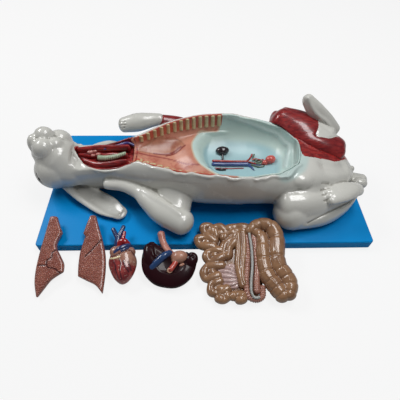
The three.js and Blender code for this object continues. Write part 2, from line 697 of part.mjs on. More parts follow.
const gulletPath = [[-10, 80, 7], [-7, 71, 5], [-3, 62, 5.5], [1, 55, 8], [6, 50, 12]];
const gullet = (grow = 0) => tube(gulletPath, 4.4, 8, 7, grow);
const portalPath = [[-21, 25, 14], [-13, 33, 16], [-4, 41, 17], [5, 47, 15]];
const portalVein = (grow = 0) => tube(portalPath, 5.2, 7, 7, grow);

// Intestines: lobed small bowel round a fan of mesentery, two upright tubes and the banded colon.
const bowelRadius = 7.2;
const bowelLobes = [
  [[-14, 102], [-24, 115], [-36, 112]],
  [[-34, 100], [-44, 112], [-57, 112]],
  [[-36, 94], [-52, 100], [-66, 93]],
  [[-38, 82], [-48, 84], [-60, 78]],
  [[-36, 70], [-46, 68], [-54, 64]],
  [[-34, 56], [-46, 56], [-56, 50]],
  [[-32, 44], [-44, 37], [-54, 37]],
  [[-30, 38], [-42, 26], [-48, 21]],
  [[-22, 30], [-30, 16], [-36, 10]],
  [[-8, 28], [-16, 14], [-14, 7]],
];
const bowelHeight = 6.6;
const inBowel = (solid) => solid.intersect(bowelSpace);
const atHeight = (points, height) => points.map(([x, y]) => [x, y, height]);
function smallBowel(grow = 0) {
  return inBowel(joined(...bowelLobes.map((points) => loft(
    points.map(([x, y]) => [x, y, bowelHeight, bowelRadius]), { sides: 7, steps: 2, domes: [7, 7], grow },
  ))));
}
const uprightRadius = 5.2;
const upright = (points, radius, height, steps, grow) => inBowel(
  tube(atHeight(points, height), radius, steps, 7, grow),
);
const appendixPath = [[-18, 114], [-5, 110], [-3, 99], [-6, 70], [-8, 42], [-4, 24]];
const caecumPath = [[5, 106], [3, 84], [1, 54], [-1, 28], [6, 10], [18, 7], [22, 16]];
const appendix = (grow = 0) => upright(appendixPath, uprightRadius, 9, 8, grow);
const caecum = (grow = 0) => upright(caecumPath, 4.6, 8, 10, grow);

const colonRadius = 11.2;
const colonPouches = 9;
const colonPath = [
  [2, 120], [20, 119], [33, 122], [46, 118], [52, 100], [50, 72], [53, 54], [60, 40], [62, 25], [55, 14],
];
const innerColonPath = [[15, 111], [24, 98], [27, 72], [26, 54], [29, 38], [38, 24], [49, 11]];
function banded(points, radius, pouches, grow = 0) {
  const swell = (t) => 1 + 0.07 * Math.cos(2 * Math.PI * pouches * t);
  const sections = points.map(([x, y], i) => {
    const share = 0.72 + 0.28 * Math.min(1, i / 2);
    return [x, y, radius, radius * share, radius * share, radius * share];
  });
  return inBowel(loft(sections, { sides: 8, steps: 2 * pouches, domes: [5, 7], swell, grow }));
}
const colon = (grow = 0) => banded(colonPath, colonRadius, colonPouches, grow);
const innerColon = (grow = 0) => banded(innerColonPath, 9.9, 6, grow);

const fanOutline = [
  [-50, 90], [-34, 94], [-12, 98], [2, 98], [12, 90], [14, 54], [12, 20], [-6, 20], [-24, 22],
  [-42, 38], [-44, 60], [-46, 76],
];
const fanThickness = 7;
const fanRound = 1.5;
const makeFan = () => slab(fanOutline, fitGap, fanThickness, fanRound);
const cordPath = [[8, 107], [10, 98], [10.5, 80], [8.5, 51], [5.5, 26], [8, 9]];
const cord = (grow = 0) => tube(cordPath.map(([x, y]) => [x, y, 15]), 1.8, 12, 6, grow);

// Assembly.
const paint = (colour, roughness = 0.45, metalness = 0) => new THREE.MeshStandardMaterial({
  color: colour, roughness, metalness,
});
const colours = {
  board: 0x0072b4, skin: 0xe2e2dc, muscle: 0x90362f, bluePaint: 0xa9c3ce, thorax: 0xa97a6a,
  rib: 0xb8947c, lung: 0x8a534e, heart: 0x8f5b53, liver: 0x2c0f14, gut: 0x91725d, steel: 0x9aa0a4,
  artery: 0xb01c20, vein: 0x20407a, kidney: 0x2f2d32, bladder: 0x984a4b, eye: 0x1a1210,
  windpipe: 0x8fa08a, gland: 0xb07a78, fan: 0xb8a098,
};

const group = new THREE.Group();
const animal = new THREE.Group();
animal.position.z = boardThickness + fitGap;
group.add(animal);

function place(parent, name, solid, material) {
  const mesh = new THREE.Mesh(toGeometry(solid), material);
  mesh.name = name;
  parent.add(mesh);
}

function leaningGroup({ x, run }) {
  const organ = new THREE.Group();
  organ.position.set(x, -boardWidth / 2 - run, 0);
  organ.rotation.x = leanOf(run);
  group.add(organ);
  return organ;
}

function makeBoard() {
  const [halfLength, halfWidth] = [boardLength / 2 - boardEdgeRound, boardWidth / 2 - boardEdgeRound];
  const corner = boardCornerRadius;
  const shape = new THREE.Shape();
  shape.absarc(halfLength - corner, halfWidth - corner, corner, 0, Math.PI / 2);
  shape.absarc(-halfLength + corner, halfWidth - corner, corner, Math.PI / 2, Math.PI);
  shape.absarc(-halfLength + corner, -halfWidth + corner, corner, Math.PI, 1.5 * Math.PI);
  shape.absarc(halfLength - corner, -halfWidth + corner, corner, 1.5 * Math.PI, 2 * Math.PI);
  const geometry = new THREE.ExtrudeGeometry(shape, {
    depth: boardThickness - 2 * boardEdgeRound, bevelThickness: boardEdgeRound,
    bevelSize: boardEdgeRound, bevelSegments: 1, curveSegments: 2,
  });
  geometry.translate(0, 0, boardEdgeRound);
  return toSolid(geometry);
}

// Countersunk screws that hold the casting down, driven up from below the board.
const screwRadius = 2.2;
const screwHeadRadius = 4.6;
const screwHeadDepth = 2.6;
const screwRecess = 1;
const screwPoint = 3;
const screwGrip = 16;
const screwSpots = [
  onTorso(-0.19, -0.2, 0), onTorso(-0.19, 0.2, 0), onTorso(0.30, -0.2, 0), onTorso(0.30, 0.2, 0),
];

function screwAt([x, y], grow = 0) {
  const tip = boardThickness + screwGrip;
  const low = grow > 0 ? -1 : screwRecess;
  const profile = [
    [0, low], [screwHeadRadius + grow, low], [screwHeadRadius + grow, screwRecess + grow],
    [screwRadius + grow, screwRecess + screwHeadDepth + grow], [screwRadius + grow, tip - screwPoint + grow],
    [0, tip + 2 * grow],
  ].map(([r, z]) => new THREE.Vector2(r, z));
  const geometry = new THREE.LatheGeometry(profile, 9);
  geometry.rotateX(Math.PI / 2);
  geometry.translate(x, y, 0);
  return toSolid(geometry);
}

const skin = paint(colours.skin);
const muscle = paint(colours.muscle);
const artery = paint(colours.artery);
const vein = paint(colours.vein);
const gut = paint(colours.gut);

const screwRoom = joined(...screwSpots.map((spot) => screwAt(spot, fitGap)));
place(group, 'base_board', makeBoard().subtract(screwRoom), paint(colours.board, 0.35));
screwSpots.forEach((spot, i) => {
  place(group, `body_screw_${i + 1}`, screwAt(spot), paint(colours.steel, 0.3, 1));
});
const pilotHoles = screwRoom.translate([0, 0, -animal.position.z]);
place(animal, 'torso_shell', makeTorsoShell().subtract(pilotHoles), skin);
place(animal, 'head', makeHead(), skin);
for (const side of ['right', 'left']) {
  const radii = [eyeRadius, eyeRadius, eyeRadius];
  place(animal, `${side}_eye`, ball(eyeCentre(side), radii, [0, 0, 0], 8), paint(colours.eye, 0.1));
  place(animal, `${side}_ear`, makeEar(bodySide[side]), skin);
  place(animal, `${side}_ribs`, makeRibs(bodySide[side]), paint(colours.rib));
}
place(animal, 'right_foreleg', makeRightForeleg(), skin);
const leftForeleg = makeLeftForeleg();
place(animal, 'left_foreleg_muscles', leftForeleg.muscles, muscle);
place(animal, 'left_forepaw', leftForeleg.paw, skin);
place(animal, 'right_hind_leg', makeRightHindLeg(), skin);
place(animal, 'right_hind_foot', rightHindFootBody().subtract(torsoGrown), skin);
place(animal, 'left_hind_muscles', makeLeftHindLeg(), muscle);
place(animal, 'left_hind_foot', leftHindFootBody().subtract(torsoGrown), skin);
place(animal, 'tail', makeTail(), skin);
place(animal, 'abdomen_lining', trunkLining.intersect(tailSide), paint(colours.bluePaint));
place(animal, 'thorax_lining', trunkLining.intersect(headSide), paint(colours.thorax));
place(animal, 'neck_lining', neckLining, muscle);
place(animal, 'diaphragm', makeDiaphragm(), paint(colours.rib));

place(animal, 'aorta', makeAorta(), artery);
place(animal, 'vena_cava', makeVenaCava(), vein);
place(animal, 'left_kidney', makeLeftKidney(), paint(colours.kidney, 0.2));
place(animal, 'right_kidney', makeRightKidney(), paint(colours.kidney, 0.2));
place(animal, 'bladder', makeBladder(), paint(colours.bladder));
place(animal, 'uterus', makeUterus(), paint(colours.bladder));
place(animal, 'windpipe', makeWindpipe(), paint(colours.windpipe));
place(animal, 'left_neck_muscle', clearOf(neckStrand(16, 4, 4, 6), makeJugular, makeGland), muscle);
place(animal, 'right_neck_muscle', clearOf(neckStrand(-15, 4, 4, 6), makeWindpipe), muscle);
place(animal, 'jugular_vein', makeJugular(), vein);
place(animal, 'neck_gland', makeGland(), paint(colours.gland));

const leftLung = leaningGroup(organs.left_lung);
place(leftLung, 'left_lung', makeLung(leftLungOutline), paint(colours.lung));
const rightLung = leaningGroup(organs.right_lung);
place(rightLung, 'right_lung', makeLung(rightLungOutline), paint(colours.lung));

const heart = leaningGroup(organs.heart);
const heartWhole = heartBody().add(makeAuricles());
place(heart, 'heart', clearOf(heartWhole, pulmonaryArtery, heartAorta, heartVeins), paint(colours.heart));
place(heart, 'pulmonary_artery', pulmonaryArtery(), vein);
place(heart, 'aortic_arch', clearOf(heartAorta(), pulmonaryArtery), artery);
place(heart, 'venae_cavae', clearOf(heartVeins(), heartAorta, pulmonaryArtery), vein);

const liver = leaningGroup(organs.liver);
place(
  liver, 'liver',
  clearOf(makeLiver(), stomachBody, pylorusBody, gallbladderBody, gullet, portalVein),
  paint(colours.liver, 0.15),
);
place(liver, 'stomach', stomachBody(), gut);
place(liver, 'pylorus', makePylorus(), muscle);
place(liver, 'gallbladder', clearOf(gallbladderBody(), stomachBody, pylorusBody), gut);
place(liver, 'gullet', clearOf(gullet(), stomachBody), gut);
place(liver, 'portal_vein', clearOf(portalVein(), gullet, stomachBody), vein);

const bowel = leaningGroup(organs.intestines);
const colonBody = (grow = 0) => colon(grow).add(innerColon(grow));
place(bowel, 'colon', colonBody(), gut);
place(bowel, 'caecum', clearOf(caecum(), colonBody, appendix, cord), gut);
place(bowel, 'appendix', clearOf(appendix(), colonBody, cord), gut);
place(bowel, 'small_intestine', clearOf(smallBowel(), appendix, caecum, colonBody), gut);
place(
  bowel, 'mesentery', clearOf(makeFan(), smallBowel, appendix, caecum, colonBody, cord),
  paint(colours.fan, 0.2),
);
place(bowel, 'mesenteric_cord', cord(), paint(colours.fan));

export default group;
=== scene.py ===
"""Rabbit anatomy model on its board: the modelled skin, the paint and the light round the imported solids.

Sizes are millimetres in the row frame and become metres when a mesh is made. The animal lies above
the board, and each loose organ is drawn flat and then leant on the board's front edge.
"""

import math

import bmesh
import bpy
import numpy as np
from mathutils import Matrix, Vector


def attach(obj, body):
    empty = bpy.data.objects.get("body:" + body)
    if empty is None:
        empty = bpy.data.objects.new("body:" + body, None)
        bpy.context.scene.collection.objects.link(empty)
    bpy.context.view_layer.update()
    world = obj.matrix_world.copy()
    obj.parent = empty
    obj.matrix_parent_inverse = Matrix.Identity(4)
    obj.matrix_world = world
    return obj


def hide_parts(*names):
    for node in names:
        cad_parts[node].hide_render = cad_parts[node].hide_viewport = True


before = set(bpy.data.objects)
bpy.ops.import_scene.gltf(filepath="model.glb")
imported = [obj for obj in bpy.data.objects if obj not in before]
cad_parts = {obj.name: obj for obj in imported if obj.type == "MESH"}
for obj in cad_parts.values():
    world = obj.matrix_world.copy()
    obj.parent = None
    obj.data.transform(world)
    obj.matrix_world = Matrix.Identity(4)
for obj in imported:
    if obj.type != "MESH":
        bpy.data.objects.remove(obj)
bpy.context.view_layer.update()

MM = 0.001
BOARD_WIDTH = 250
BOARD_THICKNESS = 17
FIT_GAP = 0.3
TORSO_LENGTH = 455
TORSO_HALF_WIDTH = 79
TORSO_HEIGHT = 89
TORSO_MIDDLE = 12.5
TORSO_SIDEWAYS = 5
CROWN_POWER = 3
BELLY_POWER = 2.1
FLOOR_POWER = 2.6
RIM_LIP = 5
NECK_LIP = 3
WALL = 2.2
NARROWEST = 6
TRUNK_DOMES = (5, 7)

# Along, sideways shift, half width, height of the widest line and rise of the closed crown.
TORSO_SECTIONS = [
    (-0.522, 0, 0.40, 0.46, 0.26),
    (-0.493, 0, 0.418, 0.43, 0.30),
    (-0.423, 0, 0.392, 0.371, 0.415),
    (-0.357, 0, 0.418, 0.371, 0.435),
    (-0.280, 0, 0.544, 0.416, 0.477),
    (-0.203, 0, 0.709, 0.438, 0.618),
    (-0.115, 0, 0.861, 0.472, 0.815),
    (-0.027, 0, 0.962, 0.494, 0.888),
    (0.071, 0, 1.0, 0.517, 0.876),
    (0.126, 0, 0.987, 0.506, 0.705),
    (0.181, -2, 0.962, 0.494, 0.567),
    (0.232, -6, 0.911, 0.483, 0.517),
    (0.280, -10, 0.835, 0.472, 0.437),
    (0.313, -12, 0.785, 0.449, 0.434),
    (0.357, -11, 0.709, 0.416, 0.404),
    (0.412, -8, 0.633, 0.371, 0.371),
    (0.467, -7, 0.481, 0.315, 0.303),
    (0.495, -7, 0.30, 0.27, 0.21),
]
RIM_LINE = [
    (-0.497, 0.71), (-0.423, 0.71), (-0.357, 0.73), (-0.280, 0.83), (-0.203, 0.92), (-0.115, 0.966),
    (-0.027, 1.0), (0.071, 0.978), (0.126, 0.93), (0.181, 0.905), (0.247, 0.89), (0.330, 0.885),
]
TRUNK_FLOOR = [
    (-0.284, 0.697), (-0.247, 0.607), (-0.203, 0.562), (-0.159, 0.539), (-0.115, 0.528), (-0.071, 0.494),
    (-0.027, 0.427), (0.060, 0.382), (0.140, 0.382), (0.190, 0.393), (0.232, 0.449), (0.262, 0.551),
    (0.282, 0.674),
]
NECK_FLOOR = [
    (-0.486, 0.584), (-0.47, 0.55), (-0.45, 0.528), (-0.41, 0.512), (-0.38, 0.506), (-0.32, 0.562),
    (-0.288, 0.629),
]

# On a ball of radius 1, only the poles lie further from the equator.
POLE = 0.99999


class Course:
    """A smooth line through points of any number of values."""

    def __init__(self, points):
        self.points = [Vector(p) for p in points]

    def at(self, share):
        last = len(self.points) - 1
        place = min(max(share, 0.0), 1.0) * last
        i = min(int(place), last - 1)
        w = place - i
        p1, p2 = self.points[i], self.points[i + 1]
        p0 = self.points[i - 1] if i > 0 else 2 * p1 - p2
        p3 = self.points[i + 2] if i + 2 <= last else 2 * p2 - p1
        d0, d1, d2 = [max((b - a).length, 1e-4) ** 0.5 for a, b in ((p0, p1), (p1, p2), (p2, p3))]
        t1 = d1 * ((p1 - p0) / d0 - (p2 - p0) / (d0 + d1) + (p2 - p1) / d1)
        t2 = d1 * ((p2 - p1) / d1 - (p3 - p1) / (d1 + d2) + (p3 - p2) / d2)
        return p1 + w * t1 + w * w * (3 * (p2 - p1) - 2 * t1 - t2) + w**3 * (2 * (p1 - p2) + t1 + t2)

    def ahead(self, share):
        step = 1e-4
        return (self.at(min(share + step, 1)) - self.at(max(share - step, 0))).normalized()


def read(table, along, column=1):
    """The value of a table at a place along it, on a smooth curve that doesn't overshoot."""
    rows = table
    if along <= rows[0][0]:
        return rows[0][column]
    if along >= rows[-1][0]:
        return rows[-1][column]
    i = max(k for k in range(len(rows) - 1) if rows[k][0] <= along)
    slopes = [
        (rows[k + 1][column] - rows[k][column]) / (rows[k + 1][0] - rows[k][0])
        for k in range(len(rows) - 1)
    ]

    def lean(k):
        if k in (0, len(rows) - 1) or slopes[k - 1] * slopes[k] <= 0:
            return 0.0
        return 2 * slopes[k - 1] * slopes[k] / (slopes[k - 1] + slopes[k])

    span = rows[i + 1][0] - rows[i][0]
    w = (along - rows[i][0]) / span
    a, b = rows[i][column], rows[i + 1][column]
    m, n = lean(i) * span, lean(i + 1) * span
    return a + w * m + w * w * (3 * (b - a) - 2 * m - n) + w**3 * (2 * (a - b) + m + n)


def bent(value, power):
    return math.copysign(abs(value) ** (2 / power), value)


def turn_outwards(shape, verts):
    """A closed body's faces point outwards, also where its placing has turned it inside out."""
    faces = list({face for vert in verts for face in vert.link_faces})
    room = 0.0
    for face in faces:
        spots = [vert.co for vert in face.verts]
        for a, b in zip(spots[1:], spots[2:]):
            room += spots[0].dot(a.cross(b))
    if room < 0:
        bmesh.ops.reverse_faces(shape, faces=faces)


def loft(shape, sections, sides=32, steps=0, domes=(8, 8), powers=(2, 2), grow=0, up=(0, 0, 1), swell=None):
    """Adds a body along a smooth line. A section is x, y, z, half width, depth below and rise above."""
    full = [list(s) + [s[-1]] * (6 - len(s)) for s in sections]
    line = Course([s[:3] for s in full])
    sizes = Course([s[3:] for s in full])
    dome_rings = 6
    steps = steps or 5 * len(full)
    count = steps + 2 * dome_rings
    rings = []
    for k in range(count + 1):
        share = min(max((k - dome_rings) / steps, 0), 1)
        over = max(dome_rings - k, k - count + dome_rings, 0) / dome_rings * math.pi / 2
        push = (-domes[0] - grow if k < dome_rings else domes[1] + grow) * math.sin(over)
        ahead = line.ahead(share)
        side = Vector(up).cross(ahead).normalized()
        size = sizes.at(share) * (swell(share) if swell else 1) + Vector((grow,) * 3)
        rings.append((line.at(share) + ahead * push, side, ahead.cross(side), size * math.cos(over)))
    made = bmesh.ops.create_uvsphere(shape, u_segments=sides, v_segments=count, radius=1)["verts"]
    for vert in made:
        centre, side, top, size = rings[round(math.acos(min(max(vert.co.z, -1), 1)) / math.pi * count)]
        turn = math.atan2(vert.co.y, vert.co.x)
        low = math.sin(turn) < 0
        pole = abs(vert.co.z) > POLE
        power = powers[0] if low else powers[1]
        reach = 0 if pole else size.x * bent(math.cos(turn), power)
        rise = 0 if pole else (size.y if low else size.z) * bent(math.sin(turn), power)
        vert.co = centre + side * reach + top * rise
    turn_outwards(shape, made)


def tube(shape, points, radius, sides=20, steps=0, swell=None, up=(0, 0, 1), flat=1.0):
    """Adds a round tube with domed ends. The radius is one number, or one for each point."""
    radii = radius if isinstance(radius, (list, tuple)) else [radius] * len(points)
    sections = [(*p, r, r * flat, r * flat) for p, r in zip(points, radii)]
    domes = (radii[0] * 0.9, radii[-1] * 0.9)
    loft(shape, sections, sides, steps or 6 * len(points), domes, swell=swell, up=up)


def ball(shape, centre, radii, spin=0.0, fine=28):
    place = Matrix.Translation(centre) @ Matrix.Rotation(spin, 4, "Z") @ Matrix.Diagonal((*radii, 1))
    bmesh.ops.create_uvsphere(shape, u_segments=fine, v_segments=round(fine * 0.6), radius=1, matrix=place)


def tubes(*rows):
    """A new shape of tubes. A row is the points and the radius."""
    shape = bmesh.new()
    for row in rows:
        tube(shape, *row)
    return shape


def balls(*rows):
    """A new shape of balls. A row is the centre, the radii and the spin, if there is any."""
    shape = bmesh.new()
    for row in rows:
        ball(shape, *row)
    return shape


def level(height, *points):
    return [(x, y, height) for x, y in points]


def closed_line(points, count):
    """Evenly spaced places on a smooth closed outline."""
    line = Course([points[-2], points[-1], *points, points[0], points[1]])
    last = len(points) + 3
    fine = [line.at((2 + k / 20) / last) for k in range(20 * len(points) + 1)]
    lengths = [0.0]
    for a, b in zip(fine, fine[1:]):
        lengths.append(lengths[-1] + (b - a).length)
    places, k = [], 0
    for i in range(count):
        goal = lengths[-1] * i / count
        while lengths[k + 1] < goal:
            k += 1
        w = (goal - lengths[k]) / (lengths[k + 1] - lengths[k])
        places.append(fine[k].lerp(fine[k + 1], w))
    return places


def pillow(shape, outline, spine, base, height, edge=0.45, around=120, rings=24, crown=2.4):
    """Adds a crowned plate with that outline. Its top falls from the spine to a rounded edge."""
    rim = closed_line([(x, y, 0) for x, y in outline], around)
    low, high = Vector(spine[0]).to_3d(), Vector(spine[1]).to_3d()
    along = high - low
    made = bmesh.ops.create_uvsphere(shape, u_segments=around, v_segments=rings, radius=1)["verts"]
    for vert in made:
        fall = math.acos(min(max(vert.co.z, -1), 1))
        turn = (math.atan2(vert.co.y, vert.co.x) / (2 * math.pi)) % 1
        spot = rim[round(turn * around) % around]
        share = min(max((spot - low).dot(along) / along.length_squared, 0), 1)
        middle = low + along * share
        out = abs(math.sin(fall)) ** 0.9
        place = middle.lerp(spot, 0 if abs(vert.co.z) > POLE else out)
        rise = max(1 - out**crown, 0) ** (1 / crown)
        depth = height * (1 - edge) if fall < math.pi / 2 else -height * edge
        vert.co = (place.x, place.y, base + height * edge + depth * rise)
    turn_outwards(shape, made)


def block(shape, low, high):
    low, high = Vector(low), Vector(high)
    place = Matrix.Translation((low + high) / 2) @ Matrix.Diagonal((*(high - low), 1))
    bmesh.ops.create_cube(shape, size=1, matrix=place)


def frozen(shape):
    mesh = bpy.data.meshes.new("shape")
    shape.to_mesh(mesh)
    shape.free()
    return mesh


def to_mesh(shape, place=Matrix.Identity(4)):
    """The finished mesh in metres."""
    mesh = frozen(shape)
    mesh.transform(Matrix.Scale(MM, 4) @ place)
    return mesh


def linked(name, data):
    """A new object in the scene."""
    made = bpy.data.objects.new(name, data)
    bpy.context.scene.collection.objects.link(made)
    return made


def worked(mesh, *steps):
    """The mesh after some modifiers, each given as its type and its settings."""
    holder = linked("workpiece", mesh)
    for kind, settings in steps:
        modifier = holder.modifiers.new(kind.lower(), kind)
        for key, value in settings.items():
            setattr(modifier, key, value)
    result = bpy.data.meshes.new_from_object(holder.evaluated_get(bpy.context.evaluated_depsgraph_get()))
    bpy.data.objects.remove(holder)
    return result


def fused(mesh, voxel, smooth=4):
    """One skin round everything in the mesh."""
    steps = [("REMESH", {"mode": "VOXEL", "voxel_size": voxel * MM})]
    if smooth:
        steps.append(("SMOOTH", {"factor": 0.5, "iterations": smooth}))
    return worked(mesh, *steps)


def cut(mesh, cutter):
    holder = linked("cutter", cutter)
    result = worked(mesh, ("BOOLEAN", {"operation": "DIFFERENCE", "object": holder, "solver": "MANIFOLD"}))
    bpy.data.objects.remove(holder)
    return result


def merged(*meshes):
    shape = bmesh.new()
    for mesh in meshes:
        shape.from_mesh(mesh)
    return frozen(shape)


def places(mesh):
    """The mesh's vertices in millimetres."""
    spots = np.empty(len(mesh.vertices) * 3, np.float32)
    mesh.vertices.foreach_get("co", spots)
    return spots.reshape(-1, 3) / MM


def drawn(points, spacing=0.7):
    """A smooth line as closely spaced points."""
    line = Course(points)
    length = sum((Vector(b) - Vector(a)).length for a, b in zip(points, points[1:]))
    count = max(4, round(length / spacing))
    return np.array([line.at(k / count) for k in range(count + 1)])


def distance_to(spots, lines, reach=12.0, flat=False):
    """How far each place is from the nearest of the smooth lines, up to reach. Flat ignores height."""
    nearest = np.full(len(spots), reach)
    axes = 2 if flat else 3
    for points in lines:
        line = drawn(points)[:, :axes]
        low, high = line.min(0) - reach, line.max(0) + reach
        close = np.where(np.all((spots[:, :axes] > low) & (spots[:, :axes] < high), axis=1))[0]
        for part in np.array_split(close, max(1, len(close) // 4000)):
            if len(part):
                gaps = np.linalg.norm(spots[part, None, :axes] - line[None], axis=2).min(1)
                nearest[part] = np.minimum(nearest[part], gaps)
    return nearest


def side_of(spots, points):
    """Signed distance from a smooth line seen from above, positive on its left."""
    line = drawn(points, 2.0)[:, :2]
    ahead = np.gradient(line, axis=0)
    signed = np.empty(len(spots))
    for part in np.array_split(np.arange(len(spots)), max(1, len(spots) // 20000)):
        apart = spots[part, None, :2] - line[None]
        nearest = np.linalg.norm(apart, axis=2).argmin(1)
        rows = np.arange(len(part))
        gap = apart[rows, nearest]
        way = ahead[nearest]
        cross = way[:, 0] * gap[:, 1] - way[:, 1] * gap[:, 0]
        signed[part] = np.sign(cross) * np.linalg.norm(gap, axis=1)
    return signed


def ramp(values, low, high):
    """0 at low, 1 at high and smooth in between."""
    share = np.clip((np.asarray(values) - low) / (high - low), 0, 1)
    return share * share * (3 - 2 * share)


def note(mesh, name, values):
    """Keeps a value for each vertex, for the finish to read."""
    layer = mesh.attributes.new(name, "FLOAT", "POINT")
    layer.data.foreach_set("value", np.asarray(values, np.float32))


def facing(mesh):
    """The mesh's smooth normals."""
    normals = np.empty(len(mesh.vertices) * 3, np.float32)
    mesh.vertex_normals.foreach_get("vector", normals)
    return normals.reshape(-1, 3)


def carve(mesh, cuts, flat=False):
    """Draws grooves and, with a negative depth, ridges: each cut is its lines, half width and depth."""
    spots = places(mesh)
    normals = facing(mesh)
    sunk = np.zeros(len(spots))
    for lines, width, depth in cuts:
        gap = distance_to(spots, lines, 3 * width, flat)
        sunk += depth * np.exp(-((gap / width) ** 2)) * (gap < 2.99 * width)
    if flat:
        sunk *= ramp(normals[:, 2], 0.0, 0.4)
    spots -= normals * sunk[:, None]
    mesh.vertices.foreach_set("co", (spots * MM).astype(np.float32).ravel())
    mesh.update()


def closeness(mesh, lines, inner, outer, flat=False):
    """1 within inner of the lines and 0 beyond outer, for each vertex."""
    return 1 - ramp(distance_to(places(mesh), lines, outer + 1, flat), inner, outer)


# Rounds in which each hollow is shared with its neighbours.
SOFTENING = 3


def hollows(mesh):
    """How hollow the surface is at each vertex, in shares of its usual roughness."""
    spots = places(mesh)
    ends = np.empty(len(mesh.edges) * 2, np.int32)
    mesh.edges.foreach_get("vertices", ends)
    ends = ends.reshape(-1, 2)
    both = np.concatenate([ends, ends[:, ::-1]])
    count = np.bincount(both[:, 0], minlength=len(spots)).clip(1)

    def around(values):
        sums = [np.bincount(both[:, 0], values[both[:, 1], k], len(spots)) for k in range(values.shape[1])]
        return np.stack(sums, 1) / count[:, None]

    dent = ((around(spots) - spots) * facing(mesh)).sum(1)[:, None]
    for _ in range(SOFTENING):
        dent = 0.5 * dent + 0.5 * around(dent)
    return dent[:, 0] / max(float(dent.std()), 1e-6)


def part_of(mesh, low, high):
    """The closed part of a mesh between two places along it."""
    shape = bmesh.new()
    shape.from_mesh(mesh)
    for place, way in ((low, -1), (high, 1)):
        parts = [*shape.verts, *shape.edges, *shape.faces]
        plane = {"plane_co": (place * MM, 0, 0), "plane_no": (way, 0, 0)}
        line = bmesh.ops.bisect_plane(shape, geom=parts, clear_outer=True, **plane)["geom_cut"]
        rim = [edge for edge in line if isinstance(edge, bmesh.types.BMEdge)]
        for edge in rim:
            edge.smooth = False
        bmesh.ops.holes_fill(shape, edges=rim, sides=0)
    return frozen(shape)


def piece(name, mesh, finish, body, slot, *nodes):
    """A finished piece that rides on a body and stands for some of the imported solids."""
    if "dent" not in mesh.attributes:
        note(mesh, "dent", hollows(mesh))
    mesh.shade_smooth()
    made = linked(name, mesh)
    made.data.materials.clear()
    made.data.materials.append(finish)
    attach(made, body)
    if nodes:
        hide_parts(*nodes)


# Finishes.

COAT_ROUGHNESS = 0.08


def colour(shade):
    """Three numbers from 0 to 255 as the shader wants them. A value stays as it is."""
    if isinstance(shade, Value):
        return shade
    shares = [number / 255 for number in shade]
    return (*(s / 12.92 if s <= 0.04045 else ((s + 0.055) / 1.055) ** 2.4 for s in shares), 1)


def pick(sockets, key):
    if isinstance(key, int):
        return sockets[key]
    return next((s for s in sockets if s.identifier == key), None) or sockets[key]


class Value:
    """A socket of a finish. Sums of values add their own nodes."""

    def __init__(self, finish, socket):
        self.finish = finish
        self.socket = socket

    def sum(self, operation, *values):
        return self.finish.add("ShaderNodeMath", {"operation": operation}, dict(enumerate(values)))

    def __add__(self, other):
        return self.sum("ADD", self, other)

    def __radd__(self, other):
        return self.sum("ADD", other, self)

    def __sub__(self, other):
        return self.sum("SUBTRACT", self, other)

    def __rsub__(self, other):
        return self.sum("SUBTRACT", other, self)

    def __mul__(self, other):
        return self.sum("MULTIPLY", self, other)

    def step(self, low, high):
        """0 below low, 1 above high and smooth in between."""
        settings = {"interpolation_type": "SMOOTHSTEP"}
        inputs = {"Value": self, "From Min": low, "From Max": high}
        if low > high:
            inputs.update({"From Min": high, "From Max": low, "To Min": 1.0, "To Max": 0.0})
        return self.finish.add("ShaderNodeMapRange", settings, inputs)


